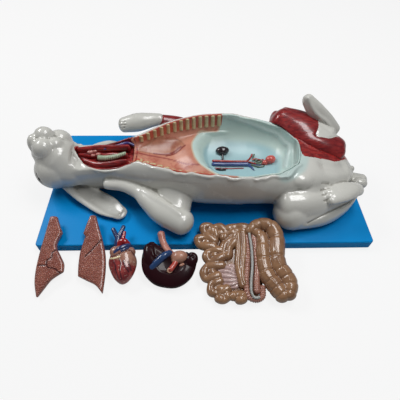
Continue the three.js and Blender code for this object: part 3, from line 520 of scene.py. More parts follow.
class Finish:
    """A painted finish: a material with one main shader."""

    def __init__(self, name, **constants):
        self.material = bpy.data.materials.new(name)
        self.material.use_nodes = True
        self.tree = self.material.node_tree
        self.shader = self.tree.nodes["Principled BSDF"]
        for key, value in constants.items():
            self.shader.inputs[key.replace("_", " ")].default_value = value

    def add(self, kind, settings, inputs, output=0):
        node = self.tree.nodes.new(kind)
        for key, value in settings.items():
            setattr(node, key, value)
        for key, value in inputs.items():
            self.feed(pick(node.inputs, key), value)
        return Value(self, pick(node.outputs, output))

    def feed(self, socket, value):
        if isinstance(value, Value):
            self.tree.links.new(value.socket, socket)
        else:
            socket.default_value = value

    def place(self):
        return self.add("ShaderNodeTexCoord", {}, {}, "Object")

    def axis(self, name):
        return self.add("ShaderNodeSeparateXYZ", {}, {0: self.place()}, name)

    def noted(self, name):
        """A value kept on the mesh."""
        return self.add("ShaderNodeAttribute", {"attribute_name": name}, {}, "Fac")

    def noise(self, per_metre, detail=3.0, rough=0.5, stretch=None):
        where = self.place()
        if stretch:
            where = self.add("ShaderNodeVectorMath", {"operation": "MULTIPLY"}, {0: where, 1: stretch})
        inputs = {"Vector": where, "Scale": per_metre, "Detail": detail, "Roughness": rough}
        return self.add("ShaderNodeTexNoise", {}, inputs)

    def cells(self, per_metre, jitter):
        inputs = {"Vector": self.place(), "Scale": per_metre, "Randomness": jitter}
        return self.add("ShaderNodeTexVoronoi", {"feature": "F1"}, inputs, "Distance")

    def mix(self, share, first, second):
        inputs = {"Factor_Float": share, "A_Color": colour(first), "B_Color": colour(second)}
        return self.add("ShaderNodeMix", {"data_type": "RGBA"}, inputs, "Result_Color")

    def bump(self, height, depth, strength=1.0, under=None):
        inputs = {"Height": height, "Distance": depth * MM, "Strength": strength}
        if under:
            inputs["Normal"] = under
        return self.add("ShaderNodeBump", {}, inputs)

    def done(self, base, rough, normal):
        for key, value in {"Base Color": base, "Roughness": rough, "Normal": normal}.items():
            self.feed(self.shader.inputs[key], value)
        return self.material

    def around(self, middle, spread, per_metre, detail=3.0):
        """A value that wanders on both sides of its middle."""
        return middle + (self.noise(per_metre, detail) - 0.5) * spread

    def sunk(self, shade, darker, share, low, high):
        """Painted shade: a darker colour in the hollows that the mesh notes."""
        return self.mix(self.noted("dent").step(low, high) * share, shade, darker)

    def stain(self, base, darker, per_metre=60, amount=0.5):
        """Uneven brushed paint."""
        cloud = self.noise(per_metre, 4.0, 0.6)
        return self.mix(cloud.step(0.35, 0.75) * amount, base, darker)


def brushed(name, base, darker, rough=0.3, per_metre=90, relief=0.15, coat=0.4):
    """Glossy hand paint: a blotchy colour, painted shade in the hollows, and a faint orange peel."""
    finish = Finish(name, Coat_Weight=coat, Coat_Roughness=COAT_ROUGHNESS)
    shade = finish.stain(base, darker, per_metre)
    # Painted shade in the hollows.
    shade = finish.sunk(shade, darker, 0.8, 0.5, 3.0)
    gloss = finish.around(rough, 0.12, per_metre * 3)
    skin = finish.bump(finish.noise(500, 2.0), relief, 0.5)
    return finish.done(shade, gloss, skin)


def board_laminate():
    finish = Finish("board_laminate", Specular_IOR_Level=0.12)
    shade = finish.mix(finish.noise(7, 2.0).step(0.3, 0.7) * 0.35, (0, 142, 216), (0, 130, 198))
    dust = finish.noise(900, 2.0).step(0.70, 0.78) * 0.04
    shade = finish.mix(dust, shade, (120, 180, 215))
    rough = finish.around(0.38, 0.18, 35, 4.0)
    return finish.done(shade, rough, finish.bump(finish.noise(1600, 2.0), 0.05, 0.4))


def lacquer():
    """White lacquer, with the red rear flank, the blue rim of the belly and a dark eye slit. Painted shade
    darkens it toward the board, in the hollows and inside the ears.
    """
    finish = Finish("white_lacquer", Coat_Weight=0.65, Coat_Roughness=COAT_ROUGHNESS)
    white = finish.mix(finish.noise(14, 3.0).step(0.35, 0.7) * 0.5, (216, 215, 208), (198, 198, 190))
    # Painted shade: grey-green within about 13 mm of the board, where the body meets it.
    white = finish.mix(finish.axis("Z").step(0.03, 0.017) * 0.35, white, (150, 156, 158))
    speck = finish.noise(700, 1.0).step(0.74, 0.8) * 0.25
    white = finish.mix(speck, white, (120, 112, 100))
    # Painted shade: darker in the hollows of the casting.
    white = finish.sunk(white, (126, 122, 110), 0.6, 0.6, 3.5)
    # The blue rim and the eye slit are paint; ear_shade is painted shade inside the ears' hollows.
    washes_and_shade = {
        "blue_rim": (0.9, (192, 213, 209)), "ear_shade": (0.75, (150, 148, 142)),
        "eye_slit": (0.9, (44, 34, 32)),
    }
    for name, (share, tint) in washes_and_shade.items():
        white = finish.mix(finish.noted(name) * share, white, tint)
    fibre = finish.noise(1.0, 4.0, 0.6, stretch=(50, 190, 190))
    red = finish.mix(fibre.step(0.35, 0.65), (114, 24, 28), (166, 46, 42))
    # Pale streaks along the fibres: fascia lines, and in part a painted highlight.
    streak = finish.noise(1.0, 2.0, 0.5, stretch=(60, 420, 420)).step(0.62, 0.76)
    red = finish.mix(streak * 0.3, red, (200, 120, 110))
    edge = finish.around(finish.noted("red"), 0.3, 120)
    shade = finish.mix(edge.step(0.42, 0.58), white, red)
    rough = finish.around(0.26, 0.10, 60)
    ripple = finish.bump(finish.noise(70, 2.0), 0.35, 0.6)
    muscle = finish.bump(fibre * finish.noted("red"), 0.6, 0.7, ripple)
    return finish.done(shade, rough, finish.bump(finish.noise(900, 2.0), 0.04, 0.4, muscle))


def muscle_paint(name, base, deep, stretch, pale=0.3):
    """Red flesh with fibres that run along the stretched axis, and white where the mesh notes it."""
    finish = Finish(name, Coat_Weight=0.6, Coat_Roughness=COAT_ROUGHNESS)
    fibre = finish.noise(1.0, 4.0, 0.6, stretch=stretch)
    shade = finish.mix(fibre.step(0.35, 0.65), deep, base)
    shade = finish.mix(finish.noise(22, 2.0).step(0.4, 0.7) * 0.5, shade, deep)
    # Pale streaks along the fibres: fascia lines, and in part a painted highlight.
    streak = finish.noise(1.0, 2.0, 0.5, stretch=tuple(2.2 * s for s in stretch)).step(0.62, 0.76)
    shade = finish.mix(streak * pale, shade, (200, 120, 110))
    # Painted shade: darker red in the hollows between the muscles.
    shade = finish.sunk(shade, deep, 0.8, 0.4, 2.5)
    shade = finish.mix(finish.noted("white").step(0.4, 0.6), shade, (214, 213, 206))
    relief = finish.bump(fibre, 0.5, 0.7)
    return finish.done(shade, finish.around(0.30, 0.1, 80), relief)


# Camera, light and floor. Angles are in degrees; the lamps and the nearest distance seen in metres.
CAMERA_PLACE = (-23.44, -399.74, 471.53)
CAMERA_TURN = (2.424, 51.556, 1.480)
CAMERA_LENS = 31.05
SENSOR_WIDTH = 36
NEAREST_SEEN = 0.02
SKY = (0.93, 0.96, 1.0, 1)
SKY_POWER = 0.11
LAMPS = {
    "window": ((-1.0, 0.55, 1.2), (0, 0, 0.05), (0.6, 0.4), 9.5),
    "ceiling": ((0.45, 0.1, 1.5), (0, 0, 0), (1.1, 0.5), 14),
}
PAPER = 0.93
FLOOR_PAPER = 1.03
FLOOR_SHARE = 0.82
FLOOR_GREY = 0.6
FLOOR_ROUGHNESS = 0.9
FLOOR_REACH = 30000


def look_at_it():
    """The camera stands in front of the board and looks down on it."""
    yaw, pitch, roll = (math.radians(a) for a in CAMERA_TURN)
    forward = Vector((math.sin(yaw) * math.cos(pitch), math.cos(yaw) * math.cos(pitch), -math.sin(pitch)))
    right = Vector((math.cos(yaw), -math.sin(yaw), 0))
    up = right.cross(forward)
    across = right * math.cos(roll) + up * math.sin(roll)
    over = up * math.cos(roll) - right * math.sin(roll)
    turn = Matrix((across, over, -forward)).transposed().to_4x4()
    camera = linked("camera", bpy.data.cameras.new("camera"))
    camera.data.lens = CAMERA_LENS
    camera.data.sensor_width = SENSOR_WIDTH
    camera.data.clip_start = NEAREST_SEEN
    camera.matrix_world = Matrix.Translation(Vector(CAMERA_PLACE) * MM) @ turn
    bpy.context.scene.camera = camera


def lamp(name, place, target, size, power):
    light = bpy.data.lights.new(name, "AREA")
    light.shape = "RECTANGLE"
    light.size, light.size_y = size
    light.energy = power
    aim = (Vector(target) - Vector(place)).to_track_quat("-Z", "Y")
    linked(name, light).matrix_world = Matrix.Translation(place) @ aim.to_matrix().to_4x4()


def background(tree):
    """1 for what looks straight at the paper or through glass at it, and 0 for the light."""
    path = tree.nodes.new("ShaderNodeLightPath")
    seen = tree.nodes.new("ShaderNodeMath")
    seen.operation = "MAXIMUM"
    tree.links.new(path.outputs["Is Camera Ray"], seen.inputs[0])
    tree.links.new(path.outputs["Is Transmission Ray"], seen.inputs[1])
    return seen.outputs[0]


def show_paper(tree, share, under, kind, brightness, output):
    """Blends the paper over what lies under it."""
    paper = tree.nodes.new(kind)
    paper.inputs[0].default_value = (brightness, brightness, brightness, 1)
    blend = tree.nodes.new("ShaderNodeMixShader")
    tree.links.new(share, blend.inputs[0])
    tree.links.new(under.outputs[0], blend.inputs[1])
    tree.links.new(paper.outputs[0], blend.inputs[2])
    tree.links.new(blend.outputs[0], tree.nodes[output].inputs[0])


def light_it():
    world = bpy.data.worlds.new("studio")
    bpy.context.scene.world = world
    world.use_nodes = True
    tree = world.node_tree
    soft = tree.nodes["Background"]
    soft.inputs[0].default_value = SKY
    soft.inputs[1].default_value = SKY_POWER
    show_paper(tree, background(tree), soft, "ShaderNodeBackground", PAPER, "World Output")
    for name, settings in LAMPS.items():
        lamp(name, *settings)


def lay_floor():
    shape = bmesh.new()
    bmesh.ops.create_grid(shape, x_segments=1, y_segments=1, size=FLOOR_REACH)
    floor = linked("floor", to_mesh(shape))
    material = bpy.data.materials.new("paper_sweep")
    material.use_nodes = True
    tree = material.node_tree
    cloth = tree.nodes["Principled BSDF"]
    cloth.inputs["Base Color"].default_value = (FLOOR_GREY, FLOOR_GREY, FLOOR_GREY, 1)
    cloth.inputs["Roughness"].default_value = FLOOR_ROUGHNESS
    share = tree.nodes.new("ShaderNodeMath")
    share.operation = "MULTIPLY"
    tree.links.new(background(tree), share.inputs[0])
    share.inputs[1].default_value = FLOOR_SHARE
    show_paper(tree, share.outputs[0], cloth, "ShaderNodeEmission", FLOOR_PAPER, "Material Output")
    floor.data.materials.append(material)


# Places on the animal, above the board.
ON_BOARD = Matrix.Translation((0, 0, BOARD_THICKNESS + FIT_GAP))


def torso_x(along):
    return TORSO_MIDDLE + along * TORSO_LENGTH


def along_torso(x):
    return (x - TORSO_MIDDLE) / TORSO_LENGTH


def torso_y(along):
    return TORSO_SIDEWAYS + read(TORSO_SECTIONS, along, 1)


def torso_side(along):
    return TORSO_HALF_WIDTH * read(TORSO_SECTIONS, along, 2)


def rim_height(along):
    return TORSO_HEIGHT * read(RIM_LINE, along)


def on_torso(along, aside, height):
    return Vector((torso_x(along), torso_y(along) + aside * torso_side(along), height * TORSO_HEIGHT))


def opening_half_width(along):
    widest = TORSO_HEIGHT * read(TORSO_SECTIONS, along, 3)
    crown = TORSO_HEIGHT * read(TORSO_SECTIONS, along, 4)
    share = max(0, (rim_height(along) - widest) / crown)
    return torso_side(along) * max(0, 1 - share**CROWN_POWER) ** (1 / CROWN_POWER)


def cavity_half_width(along, lip=RIM_LIP):
    return max(NARROWEST, opening_half_width(along) - lip)


def on_floor(along, aside, lift, floor=TRUNK_FLOOR, lip=RIM_LIP):
    """A place on a cavity's floor, some way to the side of its middle line."""
    share = min(0.98, abs(aside) / cavity_half_width(along, lip))
    depth = rim_height(along) - TORSO_HEIGHT * read(floor, along)
    drop = depth * (1 - share**FLOOR_POWER) ** (1 / FLOOR_POWER)
    return Vector((torso_x(along), torso_y(along) + aside, rim_height(along) - drop + lift))


def in_neck(along, aside, lift):
    return on_floor(along, aside, lift, NECK_FLOOR, NECK_LIP)


def on_wall(along, turn, proud, side=1):
    """A place on a side of the chest's wall, turn degrees below the rim and proud of the wall."""
    a = math.radians(turn)
    wide = cavity_half_width(along) - proud
    deep = rim_height(along) - TORSO_HEIGHT * read(TRUNK_FLOOR, along) - proud
    y = torso_y(along) + side * wide * bent(math.cos(a), FLOOR_POWER)
    return Vector((torso_x(along), y, rim_height(along) - deep * bent(math.sin(a), FLOOR_POWER)))


def turn_at_height(along, height):
    """How far below the rim, in degrees round the wall, the wall comes down to that height."""
    deep = rim_height(along) - TORSO_HEIGHT * read(TRUNK_FLOOR, along)
    return math.degrees(math.asin(((rim_height(along) - height) / deep) ** (FLOOR_POWER / 2)))


def turn_at_side(along, aside):
    """How far below the rim, in degrees round the wall, the wall comes that near to the middle."""
    share = aside / cavity_half_width(along)
    return math.degrees(math.acos(math.copysign(abs(share) ** (FLOOR_POWER / 2), share)))


NECK_ROOM = [
    (-0.486, 13.5, 3), (-0.47, 8, 9), (-0.45, 3, 15.5), (-0.41, -1.8, 22), (-0.36, -2.5, 24.5),
    (-0.32, 0, 27),
    (-0.288, 0, 27.7),
]
NECK_DOMES = (1.5, 6)
LEVEL_SIDE = 30
LID_STEPS = 70
NECK_TILT = [(-0.497, 0.11), (-0.33, 0.11), (-0.25, 0)]
NECK_RISE = [(-0.5, 12.0), (-0.465, 0)]
NECK_RIM = [
    (-204, 29), (-213, 27), (-213.5, 17), (-208, 6), (-200, -4.5), (-188, -16.5), (-172, -23), (-157, -26),
    (-138, -26), (-122, -25), (-110, -27),
]
PASSAGE = [(-134, 5, 64, 17, 8, 40), (-117, 5, 70, 24, 10, 40), (-98, 5, 76, 30, 19, 40)]


def add_torso(shape):
    sections = [
        (
            torso_x(along), TORSO_SIDEWAYS + shift, widest * TORSO_HEIGHT,
            side * TORSO_HALF_WIDTH, widest * TORSO_HEIGHT + 6, crown * TORSO_HEIGHT,
        )
        for along, shift, side, widest, crown in TORSO_SECTIONS
    ]
    loft(shape, sections, 96, 120, (6, 8), (BELLY_POWER, CROWN_POWER))


def add_cavity(shape, floor, lip, domes, grow, sides=72, steps=110, room=None):
    """Adds the hollow over a floor. Room gives a sideways shift and a half width of its own."""
    sections = []
    for along, height in floor:
        wide = read(room, along, 2) if room else cavity_half_width(along, lip)
        y = torso_y(along) + (read(room, along, 1) if room else 0)
        deep = rim_height(along) - height * TORSO_HEIGHT
        sections.append((torso_x(along), y, rim_height(along), wide, deep, 25))
    loft(shape, sections, sides, steps, domes, (FLOOR_POWER, 6), grow)


def lid_height(x, y):
    """The rim tilts to the near side over the neck and rises to the head."""
    along = along_torso(x)
    near = min(max((LEVEL_SIDE - y) / LEVEL_SIDE, 0), 1)
    return rim_height(along) + read(NECK_TILT, along) * (y - LEVEL_SIDE) + near * read(NECK_RISE, along)


def add_lid(shape):
    """Everything above the rim, from the throat to the groin."""
    start, end = RIM_LINE[0][0], RIM_LINE[-1][0]
    block(shape, (torso_x(start), -160, 0), (torso_x(end), 170, 260))
    for k in range(1, LID_STEPS):
        spot = (torso_x(start + (end - start) * k / LID_STEPS), 0, 0)
        parts = [*shape.verts, *shape.edges, *shape.faces]
        bmesh.ops.bisect_plane(shape, geom=parts, plane_co=spot, plane_no=(1, 0, 0))
    for vert in shape.verts:
        if vert.co.z < 1:
            vert.co.z = lid_height(vert.co.x, vert.co.y)


def add_passage(shape):
    """The way from the neck into the chest."""
    loft(shape, PASSAGE, 48, 20, (4, 4), (FLOOR_POWER, 4))


FAR_ANKLE = [(-4, 30, 17, 13, 13), (12, 28, 19, 13, 13), (20, 28, 21, 13, 13)]
FAR_FOOT = [(19, 28, 21, 16, 11), (3, 34, 38, 16, 10), (-15, 41, 55, 14.5, 9), (-31, 50, 71, 10, 7)]
RED_EDGE = [
    (118, 66), (131, 45), (143, 27), (150, 0), (154, -16), (171, -16), (189, -14), (206, -14), (234, 2),
    (262, 12),
]
SKIN_VOXEL = 1.4

RIGHT_FOOT = [(42, -34, -6, 12, 10), (29, -41, 2, 14.5, 9), (7, -50, 6, 18.5, 8.5), (-15, -56, 7, 19, 7.5)]
RIGHT_TOES = [
    [(176, -58), (188, -55)], [(174, -66), (188, -63)], [(175, -74), (188, -71)], [(177, -82), (190, -79)],
]
SHIN_CREASE = [(154.8, -105, 41), (169.8, -99, 46), (188.7, -90, 48), (208.8, -79, 47), (229, -66.7, 44.4)]
FOREARM_CREASE = [(-97, -55, 62.6), (-73, -75, 62.8), (-52, -88.6, 60.5), (-40, -98, 58)]
GROIN = [(186, -28, 89), (205, -27, 83.5), (222, -20, 77)]
LEFT_TOES = [
    [(-148, 83.6, 82), (-137, 81.5, 84.5)], [(-148, 78.8, 79), (-136, 76.9, 81.8)],
    [(-150, 78.6, 74), (-138, 74.9, 77.8)],
]
SOLE_RIDGE = [(168.2, 74.8, 137.5), (181.5, 63.3, 119.7), (204.7, 54.5, 103.8), (214.1, 50.1, 93.3)]
EYE_SLIT = [(-265.4, -24.5, 68), (-263, -29.5, 61.4), (-260, -32, 56)]
ANKLE_EDGE = [(192, 66), (186.4, 41), (180.4, 25), (193, 22), (206, 24.4), (221.6, 34.6), (234, 46)]

THROAT = Vector((torso_x(-0.4725), TORSO_SIDEWAYS, 0))
RIGHT_SHOULDER = on_torso(-0.126, -0.86, 0.506)
LEFT_SHOULDER = on_torso(-0.126, 0.70, 0.60)
RIGHT_HIP = on_torso(0.412, -0.24, 0.48)
LEFT_HIP = on_torso(0.412, 0.66, 0.50)
EAR_LENGTH = 116
EAR_BACK, EAR_ASIDE, EAR_HEIGHT = 26, 19, 14
FAR_EAR = [(0, 0.3, 0.5, 0.66, 0.96), (0, 0.17, 0.31, 0.44, 0.73), (0, 0.29, 0.42, 0.47, 0.45)]


def limb(shape, anchor, rows, sides, steps, domes, up=(0, 0, 1)):
    """Adds a body along rows that are measured from the anchor."""
    sections = [(anchor[0] + r[0], anchor[1] + r[1], anchor[2] + r[2], *r[3:]) for r in rows]
    loft(shape, sections, sides, steps, domes, up=up)


def add_head(shape):
    skull = [
        (6, 0, 34, 30, 30, 27), (-10, 0, 37, 36, 34, 32), (-26, 2, 43, 39, 38, 34),
        (-40, 4, 56, 36, 34, 33), (-50, 6, 66, 29, 27, 28), (-57, 7, 74, 22, 22, 20),
    ]
    limb(shape, THROAT, skull, 48, 60, (8, 10))
    lumps = [
        ((-49.5, -4, 80), (17, 16.5, 17)), ((-51.5, 18, 87), (15.5, 14.5, 15)),
        ((-65.5, 8, 79), (11, 13, 18)),
        ((-34, 5, 77), (14.5, 14, 15)), ((-34, 26, 69), (20, 18, 19)), ((-42, -11, 40), (32, 31, 31)),
        ((-26, -4, 60), (16, 15, 15)),
    ]
    for spot, radii in lumps:
        ball(shape, THROAT + Vector(spot), radii)


def ear_reach(side, share):
    """The near ear lies straight and the far one bends back along the neck."""
    if side < 0:
        return 0.85 * share * EAR_LENGTH, -0.53 * share * EAR_LENGTH
    return tuple(np.interp(share, FAR_EAR[0], row) * EAR_LENGTH for row in FAR_EAR[1:])


def ear_root(side):
    return THROAT.x - EAR_BACK, THROAT.y + side * EAR_ASIDE, EAR_HEIGHT


def ear_spot(side, share):
    root = ear_root(side)
    x, y = ear_reach(side, share)
    return root[0] + x, root[1] + y


def add_along_ear(shape, side, rows, sides, steps, domes):
    """Adds a body along an ear. A row is the share of its length, the rise, half width and half depth."""
    limb(shape, ear_root(side), [(*ear_reach(side, s), *row) for s, *row in rows], sides, steps, domes)


def add_ear(shape, side):
    rows = [(0, 0, 13, 7.2), (0.3, -3, 18.6, 5.8), (0.66, -5.2, 20.5, 5), (0.93, -6.5, 13, 4)]
    add_along_ear(shape, side, rows, 40, 40, (6, 11))


def add_scoop(shape, side):
    rows = [(0.2, 5, 8, 5), (0.46, 2.4, 15.5, 6.4), (0.76, 0, 16.5, 6.4), (0.93, -1, 9.5, 5)]
    add_along_ear(shape, side, rows, 32, 30, (6, 4))


def add_white_legs(shape):
    rows = [(-2, 10, -4, 32, 21), (-3, -15, -15, 26, 17), (-3, -37, -25, 22, 19)]
    limb(shape, RIGHT_SHOULDER, rows, 40, 30, (8, 12))
    limb(shape, RIGHT_SHOULDER, [
        (9, -47, -25, 20, 20), (-19, -31, -19, 22, 19), (-44, -11, -14, 17, 15), (-60, 4, -12, 13, 12),
        (-84, 17, -10, 12.5, 10), (-112, 20, -10, 10, 8),
    ], 40, 60, (16, 7))
    limb(shape, LEFT_SHOULDER, [
        (-30, 46, 7, 10, 9.5), (-45, 45, 6, 12.5, 12), (-73, 40.5, 4, 16.5, 16), (-97, 36, 2, 14, 13),
    ], 40, 40, (4, 9))
    limb(shape, RIGHT_HIP, [
        (6, 6, -10, 32, 32), (-30, -22, -7, 34, 31), (-56, -46, -13, 33, 30), (-66, -58, -18, 29, 28),
    ], 48, 40, (16, 16))
    ball(shape, RIGHT_HIP + Vector((-67, -67, -22)), (28.5, 28.5, 27))
    limb(shape, RIGHT_HIP, [
        (-68, -68, -25, 27, 24), (-18, -62, -28, 23, 21), (14, -47, -27, 19, 17), (44, -24, -24, 12, 12),
    ], 40, 40, (12, 8))
    limb(shape, RIGHT_HIP, [
        (-76, -60, -15, 26, 29), (-52, -59, -15, 26, 30), (-24, -52, -17, 25, 28), (2, -38, -20, 24, 24),
    ], 40, 30, (17, 12))
    ball(shape, RIGHT_HIP + Vector((-56, -38, 21)), (21, 15, 13))
    limb(shape, RIGHT_HIP, RIGHT_FOOT, 40, 40, (8, 6))
    limb(shape, LEFT_HIP, FAR_ANKLE, 32, 20, (4, 8))
    limb(shape, LEFT_HIP, FAR_FOOT, 40, 40, (9, 7), up=(0, -1, 0))
    root = on_torso(0.486, -0.06, 0.18)
    limb(shape, root, [(0, 0, 0, 14, 13), (24, -4, -3, 13, 12), (36, -8, -3, 13, 13)], 32, 30, (6, 9))
    ball(shape, root + Vector((28, -18, 3)), (13, 9, 10))
    ball(shape, (torso_x(0.508), on_torso(0.495, 0, 0)[1] - 6, 41), (5, 5, 6))


def belly_edge():
    """The edge of the belly opening round its rear end, seen on the rim."""
    far = [(along, 1) for along in (0.18, 0.22, 0.26, 0.282)]
    near = [(along, -1) for along in (0.282, 0.26, 0.23)]
    height = ON_BOARD.translation.z
    return [
        (torso_x(a), torso_y(a) + side * cavity_half_width(a), rim_height(a) + height)
        for a, side in [*far, (0.298, 0), *near]
    ]


LIP_START, LIP_LENGTH, LIP_POINTS = -0.27, 0.56, 36
LIP_RADIUS, NECK_RIM_RADIUS = 2.6, 2.3
HEAD_CUT, REAR_CUT, OUTSIDE = -150, 100, 400


def cast(name, shape, finish, slot, *nodes):
    """A piece of the casting, from a shape drawn above the board."""
    piece(name, to_mesh(shape, ON_BOARD), finish, "model", slot, *nodes)


def lined(outer, inner):
    """The wall between two shapes, open at the rim and at the way from the neck into the chest."""
    lid, passage = bmesh.new(), bmesh.new()
    add_lid(lid)
    add_passage(passage)
    wall = to_mesh(outer, ON_BOARD)
    for cutter in (inner, lid, passage):
        wall = cut(wall, to_mesh(cutter, ON_BOARD))
    return wall


def make_casting():
    """The white casting: one skin over head, ears, trunk, near legs, paws and tail."""
    whole = bmesh.new()
    add_torso(whole)
    add_head(whole)
    add_ear(whole, -1)
    add_ear(whole, 1)
    add_white_legs(whole)
    solid = fused(to_mesh(whole, ON_BOARD), SKIN_VOXEL, 2)
    lid, trunk, neck, passage, under = (bmesh.new() for _ in range(5))
    add_lid(lid)
    add_cavity(trunk, TRUNK_FLOOR, RIM_LIP, TRUNK_DOMES, WALL + FIT_GAP)
    add_cavity(neck, NECK_FLOOR, NECK_LIP, NECK_DOMES, WALL + FIT_GAP, room=NECK_ROOM)
    add_passage(passage)
    block(under, (-OUTSIDE, -300, -60), (OUTSIDE, 300, 0.2))
    scoops = bmesh.new(), bmesh.new()
    for side, scoop in zip((-1, 1), scoops):
        add_scoop(scoop, side)
    for cutter in (lid, trunk, neck, passage, under, *scoops):
        solid = cut(solid, to_mesh(cutter, ON_BOARD))
    line = []
    for k in range(LIP_POINTS):
        along = LIP_START + LIP_LENGTH * k / (LIP_POINTS - 1)
        wave = math.sin(k * 1.15) + 0.6 * math.sin(k * 2.7)
        y = torso_y(along) - opening_half_width(along) + 1 + 1.3 * wave
        line.append((torso_x(along), y, rim_height(along) - 1.6 + 0.5 * wave))
    lip = tubes((line, LIP_RADIUS))
    neck_rim = tubes(([(x, y, lid_height(x, y) - 1.2) for x, y in NECK_RIM], NECK_RIM_RADIUS))
    solid = fused(merged(solid, to_mesh(lip, ON_BOARD), to_mesh(neck_rim, ON_BOARD)), SKIN_VOXEL, 4)
    carve(solid, [
        ([SHIN_CREASE], 2.2, 2.0), (LEFT_TOES, 1.4, 1.4), ([SOLE_RIDGE], 3.5, -3.0), ([EYE_SLIT], 2.0, 1.6),
        ([FOREARM_CREASE], 4.0, -1.8), ([GROIN], 11, 4.0),
    ])
    carve(solid, [(RIGHT_TOES, 1.3, 1.1)], flat=True)
    spots = places(solid)
    foot = [[tuple(LEFT_HIP + Vector(row[:3])) for row in rows] for rows in (FAR_ANKLE, FAR_FOOT)]
    bare = ramp(distance_to(spots - np.array(ON_BOARD.translation), foot, 20), 15, 17.5)
    note(solid, "red", ramp(side_of(spots, RED_EDGE), -0.8, 0.8) * bare)
    note(solid, "blue_rim", closeness(solid, [belly_edge()], 8, 17) * ramp(spots[:, 2], 70, 78))
    # Painted shade inside the hollow of each ear.
    ears = [[(*ear_spot(side, s), 31) for s in (0.2, 0.46, 0.76, 0.92)] for side in (-1, 1)]
    note(solid, "ear_shade", closeness(solid, ears, 8, 15) * ramp(spots[:, 2], 24, 28))
    note(solid, "eye_slit", closeness(solid, [EYE_SLIT], 0.8, 2.2))
    note(solid, "dent", hollows(solid))
    finish = lacquer()
    parts = {
        "head_casting": (-OUTSIDE, HEAD_CUT, "head", "right_ear", "left_ear"),
        "trunk_casting": (HEAD_CUT, REAR_CUT, "torso_shell", "right_foreleg", "left_forepaw"),
        "rear_casting": (REAR_CUT, OUTSIDE, "right_hind_leg", "right_hind_foot", "left_hind_foot", "tail"),
    }
    # Beside its name, each part has the places where it starts and ends and the solids it stands for.
    for name, (low, high, *nodes) in parts.items():
        piece(name, part_of(solid, low, high), finish, "model", "casting", *nodes)


def outside_torso(shape):
    """One skin round a limb's muscles, without what would lie inside the torso."""
    torso = bmesh.new()
    add_torso(torso)
    return cut(fused(to_mesh(shape, ON_BOARD), 1.3), to_mesh(torso, ON_BOARD))


def make_far_legs():
    red, deep = (164, 44, 42), (110, 22, 28)
    shape = bmesh.new()
    muscles = [
        ([(14, -6, -6, 34, 38), (-34, 22, 12, 37, 38), (-70, 48, 27, 25, 26)], 48, (20, 14)),
        ([(6, 14, 6, 30, 32), (-34, 38, 18, 30, 31), (-66, 52, 25, 24, 25)], 48, (12, 10)),
        (
            [(-74, 54, 20, 19, 20), (-34, 50, 22, 19, 20), (-12, 36, 18, 14, 14), (-4, 30, 17, 12, 12)],
            40, (10, 4),
        ),
        (
            [(-60, 8, 17, 14, 14), (-30, 2, 23, 20, 19), (-4, -6, 18, 22, 20), (20, -16, 8, 20, 19)],
            40, (14, 12),
        ),
    ]
    for rows, sides, domes in muscles:
        limb(shape, LEFT_HIP, rows, sides, 40, domes)
    thigh = muscle_paint("thigh_muscle", red, deep, (60, 320, 320))
    mesh = outside_torso(shape)
    cuff = [(186, 41, 106), (180.4, 25, 101.6), (193, 22, 99), (206, 24.4, 97.8), (221.6, 34.6, 92.3)]
    carve(mesh, [([cuff], 2, 1.2)])
    spots = places(mesh)
    flank = ramp(-side_of(spots, RED_EDGE), -0.5, 0.5) * ramp(spots[:, 0], 195, 200)
    skin = np.maximum(ramp(side_of(spots, ANKLE_EDGE), -0.5, 0.5), flank)
    note(mesh, "white", skin)
    piece("far_thigh", mesh, thigh, "model", "red_muscle", "left_hind_muscles")
    shape = bmesh.new()
    upper = [(0, 0, -6, 26, 26), (12, 26, -16, 25, 25), (22, 50, -25, 20, 22)]
    lower = [(22, 48, -22, 18, 20), (-4, 48, -8, 16, 16), (-30, 45, 3, 12, 12)]
    limb(shape, LEFT_SHOULDER, upper, 40, 30, (8, 14))
    limb(shape, LEFT_SHOULDER, lower, 40, 30, (8, 5))
    arm = muscle_paint("foreleg_muscle", red, deep, (90, 300, 300))
    piece("far_upper_arm", outside_torso(shape), arm, "model", "red_muscle", "left_foreleg_muscles")


RIB_START, RIB_PITCH, RIB_COUNT = -106.7, 10.8, 13
RIB_RADIUS, RIB_FLATNESS, RIB_PROUD = 1.9, 1.7, 0.6
RIB_FOOT = 0.76
LEDGE = [
    (28, 70, 104.7), (64, 71, 93.4), (101, 60, 85.1), (124, 49, 81.9), (135, 35, 78.1), (140, 26, 80),
    (137, 11, 71.3), (131, -9, 68.6),
]
DIAPHRAGM_EDGE = [
    (30, 74), (24, 66), (10, 64), (-8, 61), (-16, 48), (-20, 37), (-20, 24), (-17, 8), (-9, -10), (6, -26),
    (26, -42), (46, -66),
]
NEAR_RIB_FEET = [(-118, 1), (-94, -3), (-64, -11), (-32, -26), (12, -36)]
CHEST_LINE = [(-117, 11, 79), (-90, 12, 71), (-56, 8, 65.6), (-28, -8, 70), (-8, -14, 66), (12, -18, 60)]
RED_STRIPS = [[(-84, 18), (-68, 19), (-54, 23), (-40, 32)], [(-64, 16), (-48, 22), (-33, 33)]]
HEART_BED = [
    (-110, 17), (-96, 29), (-82, 40), (-62, 45), (-44, 46), (-35, 36), (-42, 26), (-56, 20), (-76, 18),
    (-94, 18),
]

DIAPHRAGM_CREST = 0.66
CHEST_SLOPE, BELLY_SLOPE = 38, 26


